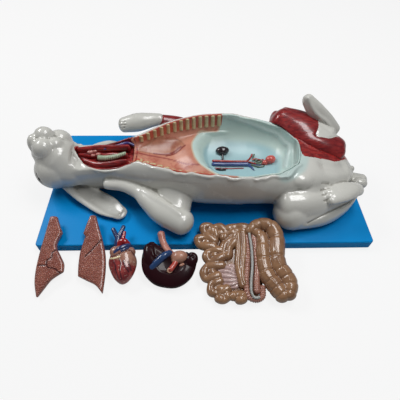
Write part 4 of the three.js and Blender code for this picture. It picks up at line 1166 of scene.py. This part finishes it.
def cavity_paint():
    """Pink chest with brick red between the ribs, pale diaphragm edge and blue belly."""
    finish = Finish("cavity_paint", Coat_Weight=0.35, Coat_Roughness=0.28)
    edge = finish.around(finish.noted("past_diaphragm"), 4.0, 60, 2.0)
    pink = finish.stain((208, 146, 122), (178, 104, 86), 45, 0.8)
    cloud = finish.noise(38, 5.0, 0.6)
    pink = finish.mix(cloud.step(0.56, 0.60) * cloud.step(0.64, 0.60) * 0.4, pink, (170, 50, 44))
    pink = finish.mix(finish.noted("heart_bed") * 0.8, pink, (158, 106, 76))
    pink = finish.mix(finish.noted("red_strips") * 0.9, pink, (124, 34, 32))
    brick = finish.stain((200, 96, 76), (164, 62, 50), 120, 0.8)
    pink = finish.mix(finish.noted("rib_band"), pink, brick)
    pink = finish.mix(finish.noted("red_line"), pink, (140, 40, 38))
    low = finish.axis("Z").step(0.066, 0.058)
    blue = finish.mix(low, (200, 221, 214), (160, 196, 202))
    blue = finish.mix(finish.noise(25, 4.0, 0.6).step(0.4, 0.75) * 0.35, blue, (146, 176, 180))
    # Painted highlight: a paler band along the ledge's ridge.
    blue = finish.mix(finish.noted("ledge_highlight") * 0.5, blue, (214, 230, 228))
    shade = finish.mix(edge.step(-7.0, -2.0), pink, (206, 190, 166))
    shade = finish.mix(edge.step(-1.5, 3.0), shade, blue)
    # Painted shade: darker in the hollows of the cavity's wall.
    shade = finish.sunk(shade, (120, 110, 104), 0.4, 0.8, 3.5)
    rough = finish.around(0.36, 0.1, 70)
    return finish.done(shade, rough, finish.bump(finish.noise(60, 3.0), 0.5, 0.6))


def make_cavity():
    outer, inner = bmesh.new(), bmesh.new()
    add_cavity(outer, TRUNK_FLOOR, RIM_LIP, TRUNK_DOMES, WALL)
    add_cavity(inner, TRUNK_FLOOR, RIM_LIP, TRUNK_DOMES, 0, 240, 340)
    crest = DIAPHRAGM_CREST * TORSO_HEIGHT
    ridge = sorted((y, x) for x, y in DIAPHRAGM_EDGE)
    for vert in inner.verts:
        x, y, z = vert.co
        share = x - np.interp(y, *zip(*ridge))
        share /= CHEST_SLOPE if share < 0 else BELLY_SLOPE
        if z < rim_height(along_torso(x)) - 1 and abs(share) < 1:
            swell = (1 - share * share) ** 2
            vert.co.z = max(z, z + (crest - z) * swell)
    wall = lined(outer, inner)
    bed = [HEART_BED[-1], *HEART_BED, HEART_BED[0]]
    carve(wall, [([LEDGE], 4, -1.6)])
    carve(wall, [([bed], 2.0, 0.5)], flat=True)
    spots = places(wall)
    x, y, z = spots.T
    near_feet = np.interp(x, *zip(*NEAR_RIB_FEET))
    foot = RIB_FOOT * TORSO_HEIGHT + ON_BOARD.translation.z
    band = np.maximum(ramp(z - foot, -1, 1) * (y > TORSO_SIDEWAYS), ramp(near_feet - y, -1, 1))
    last = RIB_START + RIB_COUNT * RIB_PITCH
    band *= ramp(x, RIB_START - 8, RIB_START - 6) * (1 - ramp(x, last - 3, last - 2))
    note(wall, "rib_band", band)
    past = side_of(spots, [row[:2] for row in DIAPHRAGM_EDGE])
    past = np.sign(past) * np.minimum(np.abs(past) * 2.2, 40)
    note(wall, "past_diaphragm", np.where((z > foot) & (y > 40), 40 * np.sign(x - last + 3), past))
    # Painted highlight along the ledge.
    note(wall, "ledge_highlight", closeness(wall, [LEDGE], 2, 7))
    note(wall, "red_line", closeness(wall, [CHEST_LINE], 0.8, 2.0, True) * 0.8)
    inside = ramp(-side_of(spots, bed), 0, 3) * (distance_to(spots, [HEART_BED], 30, True) < 29)
    note(wall, "heart_bed", inside * 0.6 + closeness(wall, [bed], 0.8, 2.2, True) * 0.7)
    note(wall, "red_strips", closeness(wall, RED_STRIPS, 0.9, 2.4, True))
    nodes = ["thorax_lining", "abdomen_lining", "diaphragm"]
    piece("cavity_wall", wall, cavity_paint(), "model", "cavity_blue", *nodes)


def make_ribs():
    cream = brushed("rib_cream", (214, 198, 156), (160, 158, 108), 0.35, 200)
    for side, name in ((1, "left"), (-1, "right")):
        bars = bmesh.new()
        parts = 4 if side > 0 else 10
        for k in range(RIB_COUNT):
            x = RIB_START + (k + 0.25) * RIB_PITCH
            along = along_torso(x)
            foot = turn_at_height(along, RIB_FOOT * TORSO_HEIGHT)
            if side < 0:
                foot = turn_at_side(along, torso_y(along) - read(NEAR_RIB_FEET, x))
            turns = [1 + (foot - 1) * s / parts for s in range(parts + 1)]
            spots = [on_wall(along, turn, RIB_PROUD, side) for turn in turns]
            tube(bars, spots, RIB_RADIUS, 16, 5 * parts, up=(1, 0, 0), flat=RIB_FLATNESS)
        cast(f"{name}_rib_bars", bars, cream, "rib", f"{name}_ribs")


def make_trunk_details():
    """Vessels, kidneys, bladder and womb on the belly's floor."""
    blue = brushed("vein_blue", (60, 84, 140), (30, 46, 92), 0.25)
    red = brushed("artery_red", (170, 44, 44), (110, 24, 30), 0.25)
    dark = brushed("kidney_dark", (44, 34, 40), (22, 16, 22), 0.18)
    pink = brushed("bladder_pink", (206, 92, 84), (168, 58, 56), 0.2)
    green = brushed("womb_green", (96, 112, 98), (48, 62, 56), 0.25)

    def laid(rows):
        """Tubes on the floor. A row is the lift, the radius and the places."""
        return tubes(*(([on_floor(a, y, lift) for a, y in spots], radius) for lift, radius, *spots in rows))

    cast("trunk_artery", laid([
        (1.8, 2.2, (0.005, 10), (0.04, 10.5), (0.08, 10), (0.13, 10)),
        (1.6, 1.4, (0.128, 10), (0.14, 15), (0.15, 22), (0.154, 26)),
        (1.2, 0.9, (0.01, -6), (0.06, -5.5), (0.115, -5)),
        (2.2, 1.3, (0.138, 9), (0.155, 6), (0.168, 4), (0.186, 5)),
        (3.4, 1.3, (0.152, 13), (0.166, 15), (0.18, 13), (0.192, 14)),
    ]), red, "artery", "aorta")
    cast("trunk_vein", laid([
        (2.4, 3.5, (0.005, 2), (0.04, 2.6), (0.08, 2.6), (0.13, 2.6)),
        (1.6, 1.6, (0.128, 3), (0.145, -3), (0.152, -8)),
        (1.6, 1.6, (0.13, 4), (0.16, 2), (0.186, 1)),
    ]), blue, "vein", "vena_cava")
    centre = on_floor(0.042, 32, 4)
    kidney = balls((centre, (11.5, 8, 6.5), 0.1))
    tube(kidney, [centre, on_floor(0.042, 15, 3)], 1.6)
    cast("left_kidney_cast", kidney, dark, "kidney", "left_kidney")
    kidney = balls((on_floor(0.03, -8.5, -1), (10, 2.8, 5), 0.05))
    cast("right_kidney_cast", kidney, dark, "kidney", "right_kidney")
    bladder = balls((on_floor(0.217, 12.5, 5), (9, 7.5, 7), 0.3), (on_floor(0.198, 8, 3), (5.5, 4.5, 4.5)))
    cast("bladder_cast", bladder, pink, "bladder", "bladder")
    middle = Vector((0.174, 9, 0))
    womb = tubes(([
        on_floor(middle.x + 0.012 * math.cos(t), middle.y + 5 * math.sin(t), 2.6)
        for t in np.linspace(0.4, 6.0, 9)
    ], 1.9))
    ball(womb, on_floor(0.176, 9, 2), (4, 2.6, 2.4), 0.5)
    horns = {
        1.8: ((0.146, 3), (0.158, 1), (0.172, -1), (0.19, 1)), 1.5: ((0.160, 14), (0.157, 20), (0.162, 26)),
    }
    for radius, spots in horns.items():
        tube(womb, [on_floor(a, y, 1.6) for a, y in spots], radius)
    cast("womb_cast", womb, green, "vein", "uterus")


def make_neck():
    red, deep = (184, 52, 52), (96, 20, 26)
    outer, inner = bmesh.new(), bmesh.new()
    add_cavity(outer, NECK_FLOOR, NECK_LIP, NECK_DOMES, WALL, room=NECK_ROOM)
    add_cavity(inner, NECK_FLOOR, NECK_LIP, NECK_DOMES, 0, 120, 120, NECK_ROOM)
    flesh = muscle_paint("neck_flesh", red, deep, (60, 420, 420), 0.5)
    piece("neck_wall", lined(outer, inner), flesh, "model", "red_muscle", "neck_lining")
    strands = {
        "far_neck_strands": ("left_neck_muscle", [
            ((-0.478, 14, 5), (-0.40, 19, 6), (-0.302, 16, 6), 5, 7),
            ((-0.475, 8, 3), (-0.40, 12, 3), (-0.31, 6, 3), 5, 5),
        ]),
        "near_neck_strands": ("right_neck_muscle", [
            ((-0.455, -6, 5), (-0.40, -17, 5), (-0.302, -16, 5), 5.5, 7),
            ((-0.46, 0, 3), (-0.40, -9, 3), (-0.31, -8, 3), 4.5, 5),
            ((-0.45, -3, 4), (-0.41, -13, 5), (-0.35, -14, 5), 3, 5),
        ]),
    }
    for name, (node, rows) in strands.items():
        shape = bmesh.new()
        for *spots, width, rise in rows:
            shares = zip(spots, (0.6, 1, 0.7))
            loft(shape, [(*in_neck(*spot), width * share, rise) for spot, share in shares], 24, 30, (4, 3))
        cast(name, shape, flesh, "red_muscle", node)
    shape = bmesh.new()
    rings = 15
    path = ((-0.408, 3.5, 7, 4.3), (-0.385, 3.5, 7, 4.2), (-0.35, 5, 7, 3.8), (-0.312, 7, 7, 3.0))
    rows = [(*in_neck(a, y, z), r) for a, y, z, r in path]
    loft(shape, rows, 24, 10 * rings, (3, 1), swell=lambda t: 1 + 0.09 * math.cos(2 * math.pi * rings * t))
    pipe = brushed("windpipe_green", (182, 200, 172), (110, 136, 112), 0.3, 300)
    cast("windpipe_cast", shape, pipe, "windpipe", "windpipe")
    vein = [(-164, 20, 61), (-152.6, 24, 61), (-140, 26, 64), (-126, 27.5, 67), (-117, 26, 64)]
    blue = brushed("jugular_blue", (72, 66, 130), (38, 34, 84), 0.25)
    cast("jugular_cast", tubes((vein, [1.6, 2.4, 2.8, 2.6, 2.0])), blue, "vein", "jugular_vein")
    shape = bmesh.new()
    beads = ((-0.44, 12, 9, 4.4), (-0.425, 14, 9, 4.0), (-0.412, 9, 9, 3.6), (-0.43, 7, 8, 3))
    for *spot, size in beads:
        ball(shape, in_neck(*spot), (size * 1.2, size * 0.8, size * 0.7), 0.3)
    gland = brushed("gland_pink", (206, 140, 132), (150, 66, 64), 0.3, 300)
    cast("gland_cast", shape, gland, "gland", "neck_gland")


# The loose organs: how far along the board each foot stands, and how far in front of it.
LEANS = {
    "left_lung": (-237, 74), "right_lung": (-166, 74), "heart": (-122, 63), "liver": (-58, 63),
    "intestine": (55, 93),
}


def leant(organ):
    x, run = LEANS[organ]
    turn = Matrix.Rotation(math.atan2(BOARD_THICKNESS, run), 4, "X")
    return Matrix.Translation((x, -BOARD_WIDTH / 2 - run, 0)) @ turn


def organ_part(organ, name, shape, finish, slot, *nodes):
    """A piece of a loose organ, from a shape drawn flat."""
    piece(name, to_mesh(shape, leant(organ)), finish, f"{organ}_piece", slot, *nodes)


def organ_skin(organ, name, mesh, finish, slot, *nodes):
    """A piece of a loose organ, from a finished mesh laid flat."""
    place = leant(organ)
    place.translation *= MM
    mesh.transform(place)
    piece(name, mesh, finish, f"{organ}_piece", slot, *nodes)


def lung_paint():
    finish = Finish("lung_paint", Coat_Weight=0.7, Coat_Roughness=0.12)
    shade = finish.stain((186, 118, 100), (156, 88, 74), 60, 0.9)
    knob = finish.cells(500, 0.62)
    shade = finish.mix(knob.step(0.38, 0.68) * 0.7, shade, (112, 48, 42))
    shade = finish.mix(finish.noted("fissure"), shade, (74, 22, 22))
    relief = finish.bump(1.0 - knob.step(0.0, 0.65), 1.1, 1.0)
    return finish.done(shade, 0.28, relief)


def make_lungs():
    finish = lung_paint()
    lungs = {
        "left_lung": (
            [
                (1, 121), (7, 120), (7, 120), (12, 108), (18.5, 94), (18.5, 94), (13.5, 80), (13.5, 71),
                (21.5, 57), (28, 45), (28.5, 34), (28.5, 34), (13, 23), (5, 11), (-3, -2), (-3, -2),
                (-9, 17),
                (-11, 35), (-10, 62), (-7, 90), (-4, 120), (-4, 120),
            ],
            ((1, 20), (3, 112)),
            [
                [(14, 66), (10, 62), (10, 55), (4, 50), (4, 44), (-8, 43)],
                [(4, 44), (7, 40), (16, 38), (26, 31)],
            ],
        ),
        "right_lung": (
            [
                (-10, 122), (-5, 121), (-5, 121), (4, 96), (11, 76), (16, 56), (18, 31), (17, 2), (17, 2),
                (6, 14), (-8, 21), (-20.5, 27), (-20.5, 27), (-22, 42), (-22, 62), (-19, 79), (-17, 87),
                (-17, 87), (-21, 92), (-21, 92),
                (-18, 106), (-14, 121), (-14, 121),
            ],
            ((0, 30), (-8, 112)),
            [[(12, 86), (2, 73), (-5, 64), (-13, 55)]],
        ),
    }
    for name, (outline, spine, fissures) in lungs.items():
        shape = bmesh.new()
        pillow(shape, outline, spine, FIT_GAP, 10.5, around=240, rings=40, crown=3.6)
        mesh = fused(to_mesh(shape), 0.75, 1)
        carve(mesh, [(fissures, 1.0, 1.3)], flat=True)
        note(mesh, "fissure", closeness(mesh, fissures, 0.5, 1.5, True))
        organ_skin(name, f"{name}_cast", mesh, finish, "lung_red", name)


def heart_paint():
    """Pale at the top and maroon towards the tip, with dark vessels and a pale line of fat."""
    finish = Finish("heart_paint", Coat_Weight=0.8, Coat_Roughness=COAT_ROUGHNESS)
    cloud = finish.noise(110, 4.0, 0.6)
    pale = finish.stain((176, 128, 108), (138, 82, 70), 120, 0.8)
    maroon = finish.stain((164, 62, 58), (98, 26, 34), 90, 0.9)
    share = finish.noted("low") + (cloud - 0.5) * 1.1
    shade = finish.mix(share.step(0.35, 0.65), pale, maroon)
    shade = finish.mix(finish.noise(260, 3.0).step(0.62, 0.70) * 0.5, shade, (226, 196, 180))
    shade = finish.mix(finish.noted("vessel") * 0.9, shade, (64, 20, 34))
    shade = finish.mix(finish.noted("fat"), shade, (236, 222, 176))
    # Painted shade: darker in the heart's grooves and hollows.
    shade = finish.sunk(shade, (80, 26, 28), 0.7, 0.5, 3.0)
    return finish.done(shade, 0.26, finish.bump(cloud, 0.5, 0.5))


def make_heart():
    blue = brushed("heart_vein_blue", (44, 60, 108), (22, 28, 62), 0.2, coat=0.8)
    red = brushed("heart_artery_red", (158, 26, 32), (104, 14, 22), 0.2, coat=0.8)
    outline = [
        (-16, 56), (-20, 45), (-21.5, 34), (-17, 21), (-10, 10), (-1, 4), (6, 6), (13, 14), (18, 26),
        (19, 38),
        (15, 48), (8, 57), (-1, 60), (-9, 61),
    ]
    groove = [(-19, 42), (-6, 44), (1, 49), (9, 51), (16, 46)]
    fat = [(-19, 40), (-12, 39), (-4, 41)]
    vessels = [
        [(-9, 27), (-6, 17), (-4, 11)], [(-1, 31), (-2, 23), (1, 9)], [(2, 35), (5, 27), (10, 20)],
        [(-12, 34), (-8, 27), (-9, 22)], [(-4, 38), (-1, 31)], [(9, 34), (11, 28), (13, 22)],
    ]
    shape = bmesh.new()
    pillow(shape, outline, ((-2, 26), (-3, 46)), FIT_GAP, 24.5, 0.42, 160, 44, 2.1)
    ball(shape, (-12, 50, 15), (8.5, 9, 7.5), 0.5)
    ball(shape, (9, 50, 14), (8, 8, 7.5), -0.4)
    mesh = fused(to_mesh(shape), 0.7, 1)
    carve(mesh, [([groove], 1.6, 1.8), ([fat], 1.3, -0.8), (vessels, 0.8, -0.5)], flat=True)
    x, y, _ = places(mesh).T
    note(mesh, "low", 1 - ramp(y + 0.35 * x, 24, 46))
    note(mesh, "vessel", closeness(mesh, vessels, 0.4, 1.3, True))
    note(mesh, "fat", closeness(mesh, [fat], 0.8, 1.8, True))
    organ_skin("heart", "heart_cast", mesh, heart_paint(), "heart_red", "heart")
    vessels = [
        ("heart_outflow", blue, "vein", "pulmonary_artery", [
            ([(-11, 48, 20), (-5, 53, 22), (2, 57, 20), (8, 59, 16)], 3.8),
            ([(-8, 46, 20), (-1, 51, 22), (6, 55, 19)], 2.6),
        ]),
        ("heart_arch", red, "artery", "aortic_arch", [
            ([(-8, 56, 13), (-6, 64, 15), (-1, 66, 16), (5, 62, 14)], [4.4, 5.0, 5.0, 4.2]),
            ([(-4, 64, 16), (-2, 72, 16), (-1, 80, 15)], [3.6, 3, 2.4]),
        ]),
        ("heart_veins", blue, "vein", "venae_cavae", [
            ([(-11, 54, 12), (-11, 64, 14), (-10, 74, 14)], [4, 4.2, 4.4]),
            ([(-11, 72, 14), (-15, 79, 13), (-19, 86, 12)], [4, 3.6, 3.2]),
            ([(-10, 72, 14), (-7, 80, 13), (-4, 90, 11)], [4, 3.6, 3.2]),
        ]),
    ]
    for name, finish, slot, node, rows in vessels:
        organ_part("heart", name, tubes(*rows), finish, slot, node)


def make_liver():
    flesh = brushed("liver_gloss", (40, 6, 14), (16, 3, 7), 0.34, 40, 0.1, 0.3)
    flesh.node_tree.nodes["Principled BSDF"].inputs["Specular IOR Level"].default_value = 0.15
    gut = brushed("stomach_tan", (190, 140, 118), (150, 96, 80), 0.28)
    blue = brushed("portal_blue", (40, 72, 120), (20, 40, 76), 0.22)
    red = brushed("pylorus_red", (190, 78, 66), (150, 50, 44), 0.25)
    outline = [
        (-32, 63), (-37, 51), (-38.5, 36), (-36, 23), (-29, 12), (-18, 3), (-5, -1), (11, -2), (24, 3),
        (34, 12),
        (40, 24), (43, 37), (43, 37), (37, 44), (28, 51), (28, 51), (22, 49), (5, 48), (-6, 56), (-17, 63),
        (-25, 67),
    ]
    shape = bmesh.new()
    pillow(shape, outline, ((-12, 30), (16, 26)), FIT_GAP, 17, 0.5, 200, 44)
    bowl = bmesh.new()
    ball(bowl, (5, 31, 27.5), (32, 22, 14), fine=48)
    solid = cut(to_mesh(shape), to_mesh(bowl))
    ends = balls(((-26, 45, 12), (10, 19, 8), 0.22), ((34, 38, 12), (10, 12, 7), -0.5))
    mesh = fused(merged(solid, to_mesh(ends)), 0.8, 3)
    ridge = [(-22, 64), (-23, 53), (-20, 44), (-15, 40), (-16, 33)]
    notch = [(24, 50), (31, 46), (38, 41)]
    carve(mesh, [([ridge], 2.0, -1.2), ([notch], 1.6, 1.6)], flat=True)
    organ_skin("liver", "liver_cast", mesh, flesh, "liver_dark", "liver")
    shape = balls(((17, 42, 14), (12.5, 9.5, 9), 0.1), ((12, 37, 14), (6.5, 6, 6)))
    mesh = fused(to_mesh(shape, leant("liver")), 0.7, 3)
    piece("stomach_cast", mesh, gut, "liver_piece", "gut_tan", "stomach")
    shape = tubes(([(13, 36, 15), (9, 29, 17), (5, 23, 18.5)], 3.9))
    organ_part("liver", "pylorus_cast", shape, red, "red_muscle", "pylorus")
    turn = Matrix.Translation((3.6, 21.2, 19)) @ Matrix.Rotation(0.7, 4, "X") @ Matrix.Rotation(0.5, 4, "Z")
    ring = [turn @ Vector((2.9 * math.cos(t), 2.9 * math.sin(t), 0)) for t in np.linspace(0, 6.2, 11)]
    end = brushed("cut_end_pale", (226, 178, 150), (180, 110, 90), 0.3)
    organ_part("liver", "pylorus_ring", tubes((ring, 1.2, 14)), end, "gut_tan")
    shape = balls(((23, 31, 12.5), (7.5, 3.6, 4), 0.35))
    organ_part("liver", "gallbladder_cast", shape, gut, "gut_tan", "gallbladder")
    pink = brushed("gullet_pink", (200, 138, 122), (166, 96, 84), 0.28)
    shape = tubes(([(-11, 79, 8), (-9, 70, 7), (-5, 61, 8), (-1, 54, 10), (5, 47, 12)], [5.6, 5.2, 5, 5, 5]))
    organ_part("liver", "gullet_cast", shape, pink, "gut_tan", "gullet")
    shape = tubes(([(-22, 27, 14), (-15, 34, 16.5), (-5, 43, 17.5), (3, 48, 15)], [4.6, 5.4, 5.4, 4.4]))
    organ_part("liver", "portal_vein_cast", shape, blue, "vein", "portal_vein")


def pinched(count):
    """The pouches of the colon: its width is drawn in that many times."""
    def swell(t):
        return 1 - 0.08 * max(0, math.cos(2 * math.pi * count * t + 1.6 * math.sin(7 * t))) ** 4

    return swell


def make_bowel():
    gut = brushed("gut_tan", (160, 120, 88), (100, 64, 44), 0.24, 60, 0.35, 0.6)
    pink = brushed("gut_pink", (176, 126, 110), (124, 76, 66), 0.2, 120, 0.3, 0.8)
    lobes = [
        [(-44, 97), (-57, 107), (-59, 118), (-50, 120), (-45, 108)],
        [(-41, 104), (-42, 117), (-33, 118), (-26, 108), (-29, 100)],
        [(-45, 87), (-65, 90), (-68, 99), (-57, 101), (-43, 96)],
        [(-34, 81), (-50, 80), (-56, 72), (-51, 64), (-33, 71)],
        [(-34, 58), (-55, 56), (-60, 48), (-58, 39), (-40, 43)],
        [(-38, 35), (-50, 29), (-50, 20), (-42, 18), (-28, 24)],
        [(-42, 23), (-33, 22), (-29, 14), (-33, 9), (-41, 11)],
        [(-21, 13), (-16, 15), (-8, 14), (-6, 9.5), (-13, 8.5)],
        [(-10, 107), (-18, 99), (-28, 89), (-31, 76), (-25, 73), (-22, 85), (-12, 96)],
        [(-25, 114), (-13, 118), (3, 118), (16, 116)], [(-20, 108), (-8, 112), (4, 112)],
    ]
    shape = bmesh.new()
    for line in lobes:
        beads = 0.34 * len(line)
        tube(shape, level(8, *line), 6.6, swell=lambda t: 1 + 0.09 * math.sin(9 * beads * t), steps=60)
        middle = sum((Vector((x, y, 7)) for x, y in line), Vector()) / len(line)
        ball(shape, middle, (8.5, 7.5, 6.6))
    backing = [
        (-50, 98), (-34, 108), (-12, 112), (10, 112), (24, 104), (26, 60), (22, 24), (12, 12), (-8, 14),
        (-28, 20),
        (-44, 32), (-52, 48), (-48, 70), (-50, 84),
    ]
    pillow(shape, backing, ((-12, 40), (-12, 84)), FIT_GAP, 6.5)
    mesh = fused(to_mesh(shape), 0.75, 1)
    organ_skin("intestine", "small_bowel", mesh, gut, "gut_tan", "small_intestine")
    shape = tubes(
        (level(10, (-8, 107), (-8, 81), (-11, 58), (-9, 39), (-7, 28)), 4.8),
        (level(11, (1, 109), (0, 80), (-4, 58), (-6, 39), (-4, 30)), 4.2),
    )
    organ_skin("intestine", "appendix_cast", fused(to_mesh(shape), 0.7, 1), gut, "gut_tan", "appendix")
    shape = bmesh.new()
    line = level(9.5, (5, 102), (5, 78), (2, 52), (-1, 30), (2, 12), (12, 8), (20, 12), (22, 24))
    tube(shape, line, 4.4, swell=lambda t: 1 + 0.08 * math.cos(190 * t), steps=240)
    line = level(9.5, (16, 102), (17, 78), (17, 54), (14, 34), (13, 20))
    tube(shape, line, 5.2, swell=lambda t: 1 + 0.04 * math.cos(120 * t), steps=160)
    organ_part("intestine", "caecum_cast", shape, pink, "gut_tan", "caecum")
    outer = level(
        12.6, (9, 110), (17, 117), (29, 121), (43, 116), (50, 98), (47, 72), (48, 54), (55, 41),
        (60, 28), (57, 15),
    )
    inner = level(11.6, (14, 112), (27, 100), (27, 76), (27, 57), (30, 42), (39, 27), (48, 13))
    shape = bmesh.new()
    tube(shape, outer, [7, 8.5, 10, 12, 12.4, 12.4, 12.4, 12.6, 12.2, 11], 48, 200, pinched(9))
    tube(shape, inner, [6, 9.6, 11, 11.2, 12, 12.4, 11.4], 48, 170, pinched(7))
    mesh = fused(to_mesh(shape), 0.8, 1)
    bands = [
        [(25, 98), (24, 76), (24, 57), (26, 42), (36, 28)],
        [(46, 100), (44, 72), (46, 56), (55, 42), (58, 28)],
    ]
    carve(mesh, [(bands, 1.4, -0.7)], flat=True)
    organ_skin("intestine", "colon_cast", mesh, gut, "gut_tan", "colon")
    fan = [(-16, 60), (-35, 56), (-47, 44), (-41, 32), (-27, 25), (-14, 24), (-8, 32), (-12, 48)]
    folds = [
        [(-12, 30), (-22, 26), (-30, 26)], [(-11, 34), (-24, 32), (-38, 33)],
        [(-11, 38), (-26, 38), (-44, 40)],
        [(-12, 42), (-26, 45), (-44, 48)], [(-13, 46), (-26, 51), (-36, 55)],
        [(-14, 50), (-20, 55), (-26, 59)],
    ]
    shape = bmesh.new()
    pillow(shape, fan, ((-22, 36), (-24, 48)), FIT_GAP, 11.5, 0.5, 160, 44)
    mesh = fused(to_mesh(shape), 0.7, 1)
    carve(mesh, [(folds, 1.5, 1.4)], flat=True)
    pale = brushed("fan_pale", (204, 176, 172), (132, 92, 84), 0.18, 150, 0.4, 0.9)
    organ_skin("intestine", "mesentery_fan", mesh, pale, "fan_pale", "mesentery")
    cord = level(15, (9, 106), (10.5, 82), (9.5, 56), (5.5, 30), (5, 16), (9, 9.5), (15, 10))
    string = brushed("string_grey", (170, 172, 168), (122, 124, 122), 0.4, 300)
    organ_part("intestine", "grey_cord", tubes((cord, 2.0)), string, "fan_pale", "mesenteric_cord")


def paint_nodes():
    """Finishes of the solids that stay as they are, and the near eye."""
    finishes = {"base_board": board_laminate()}
    steel = brushed("screw_steel", (150, 154, 158), (110, 114, 118), 0.3)
    wet = brushed("eye_wet", (30, 22, 20), (12, 8, 8), 0.08)
    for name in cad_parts:
        if name.startswith("body_screw"):
            finishes[name] = steel
    finishes["left_eye"] = wet
    for name, finish in finishes.items():
        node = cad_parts[name]
        node.data.materials.clear()
        node.data.materials.append(finish)
    eye = balls(((-260.5, -28, 61), (4.5, 4.5, 5)))
    piece("right_eye_cast", to_mesh(eye), wet, "model", "eye", "right_eye")


look_at_it()
light_it()
lay_floor()
paint_nodes()
make_casting()
make_far_legs()
make_cavity()
make_ribs()
make_trunk_details()
make_neck()
make_lungs()
make_heart()
make_liver()
make_bowel()

bpy.context.scene.view_settings.view_transform = "Standard"
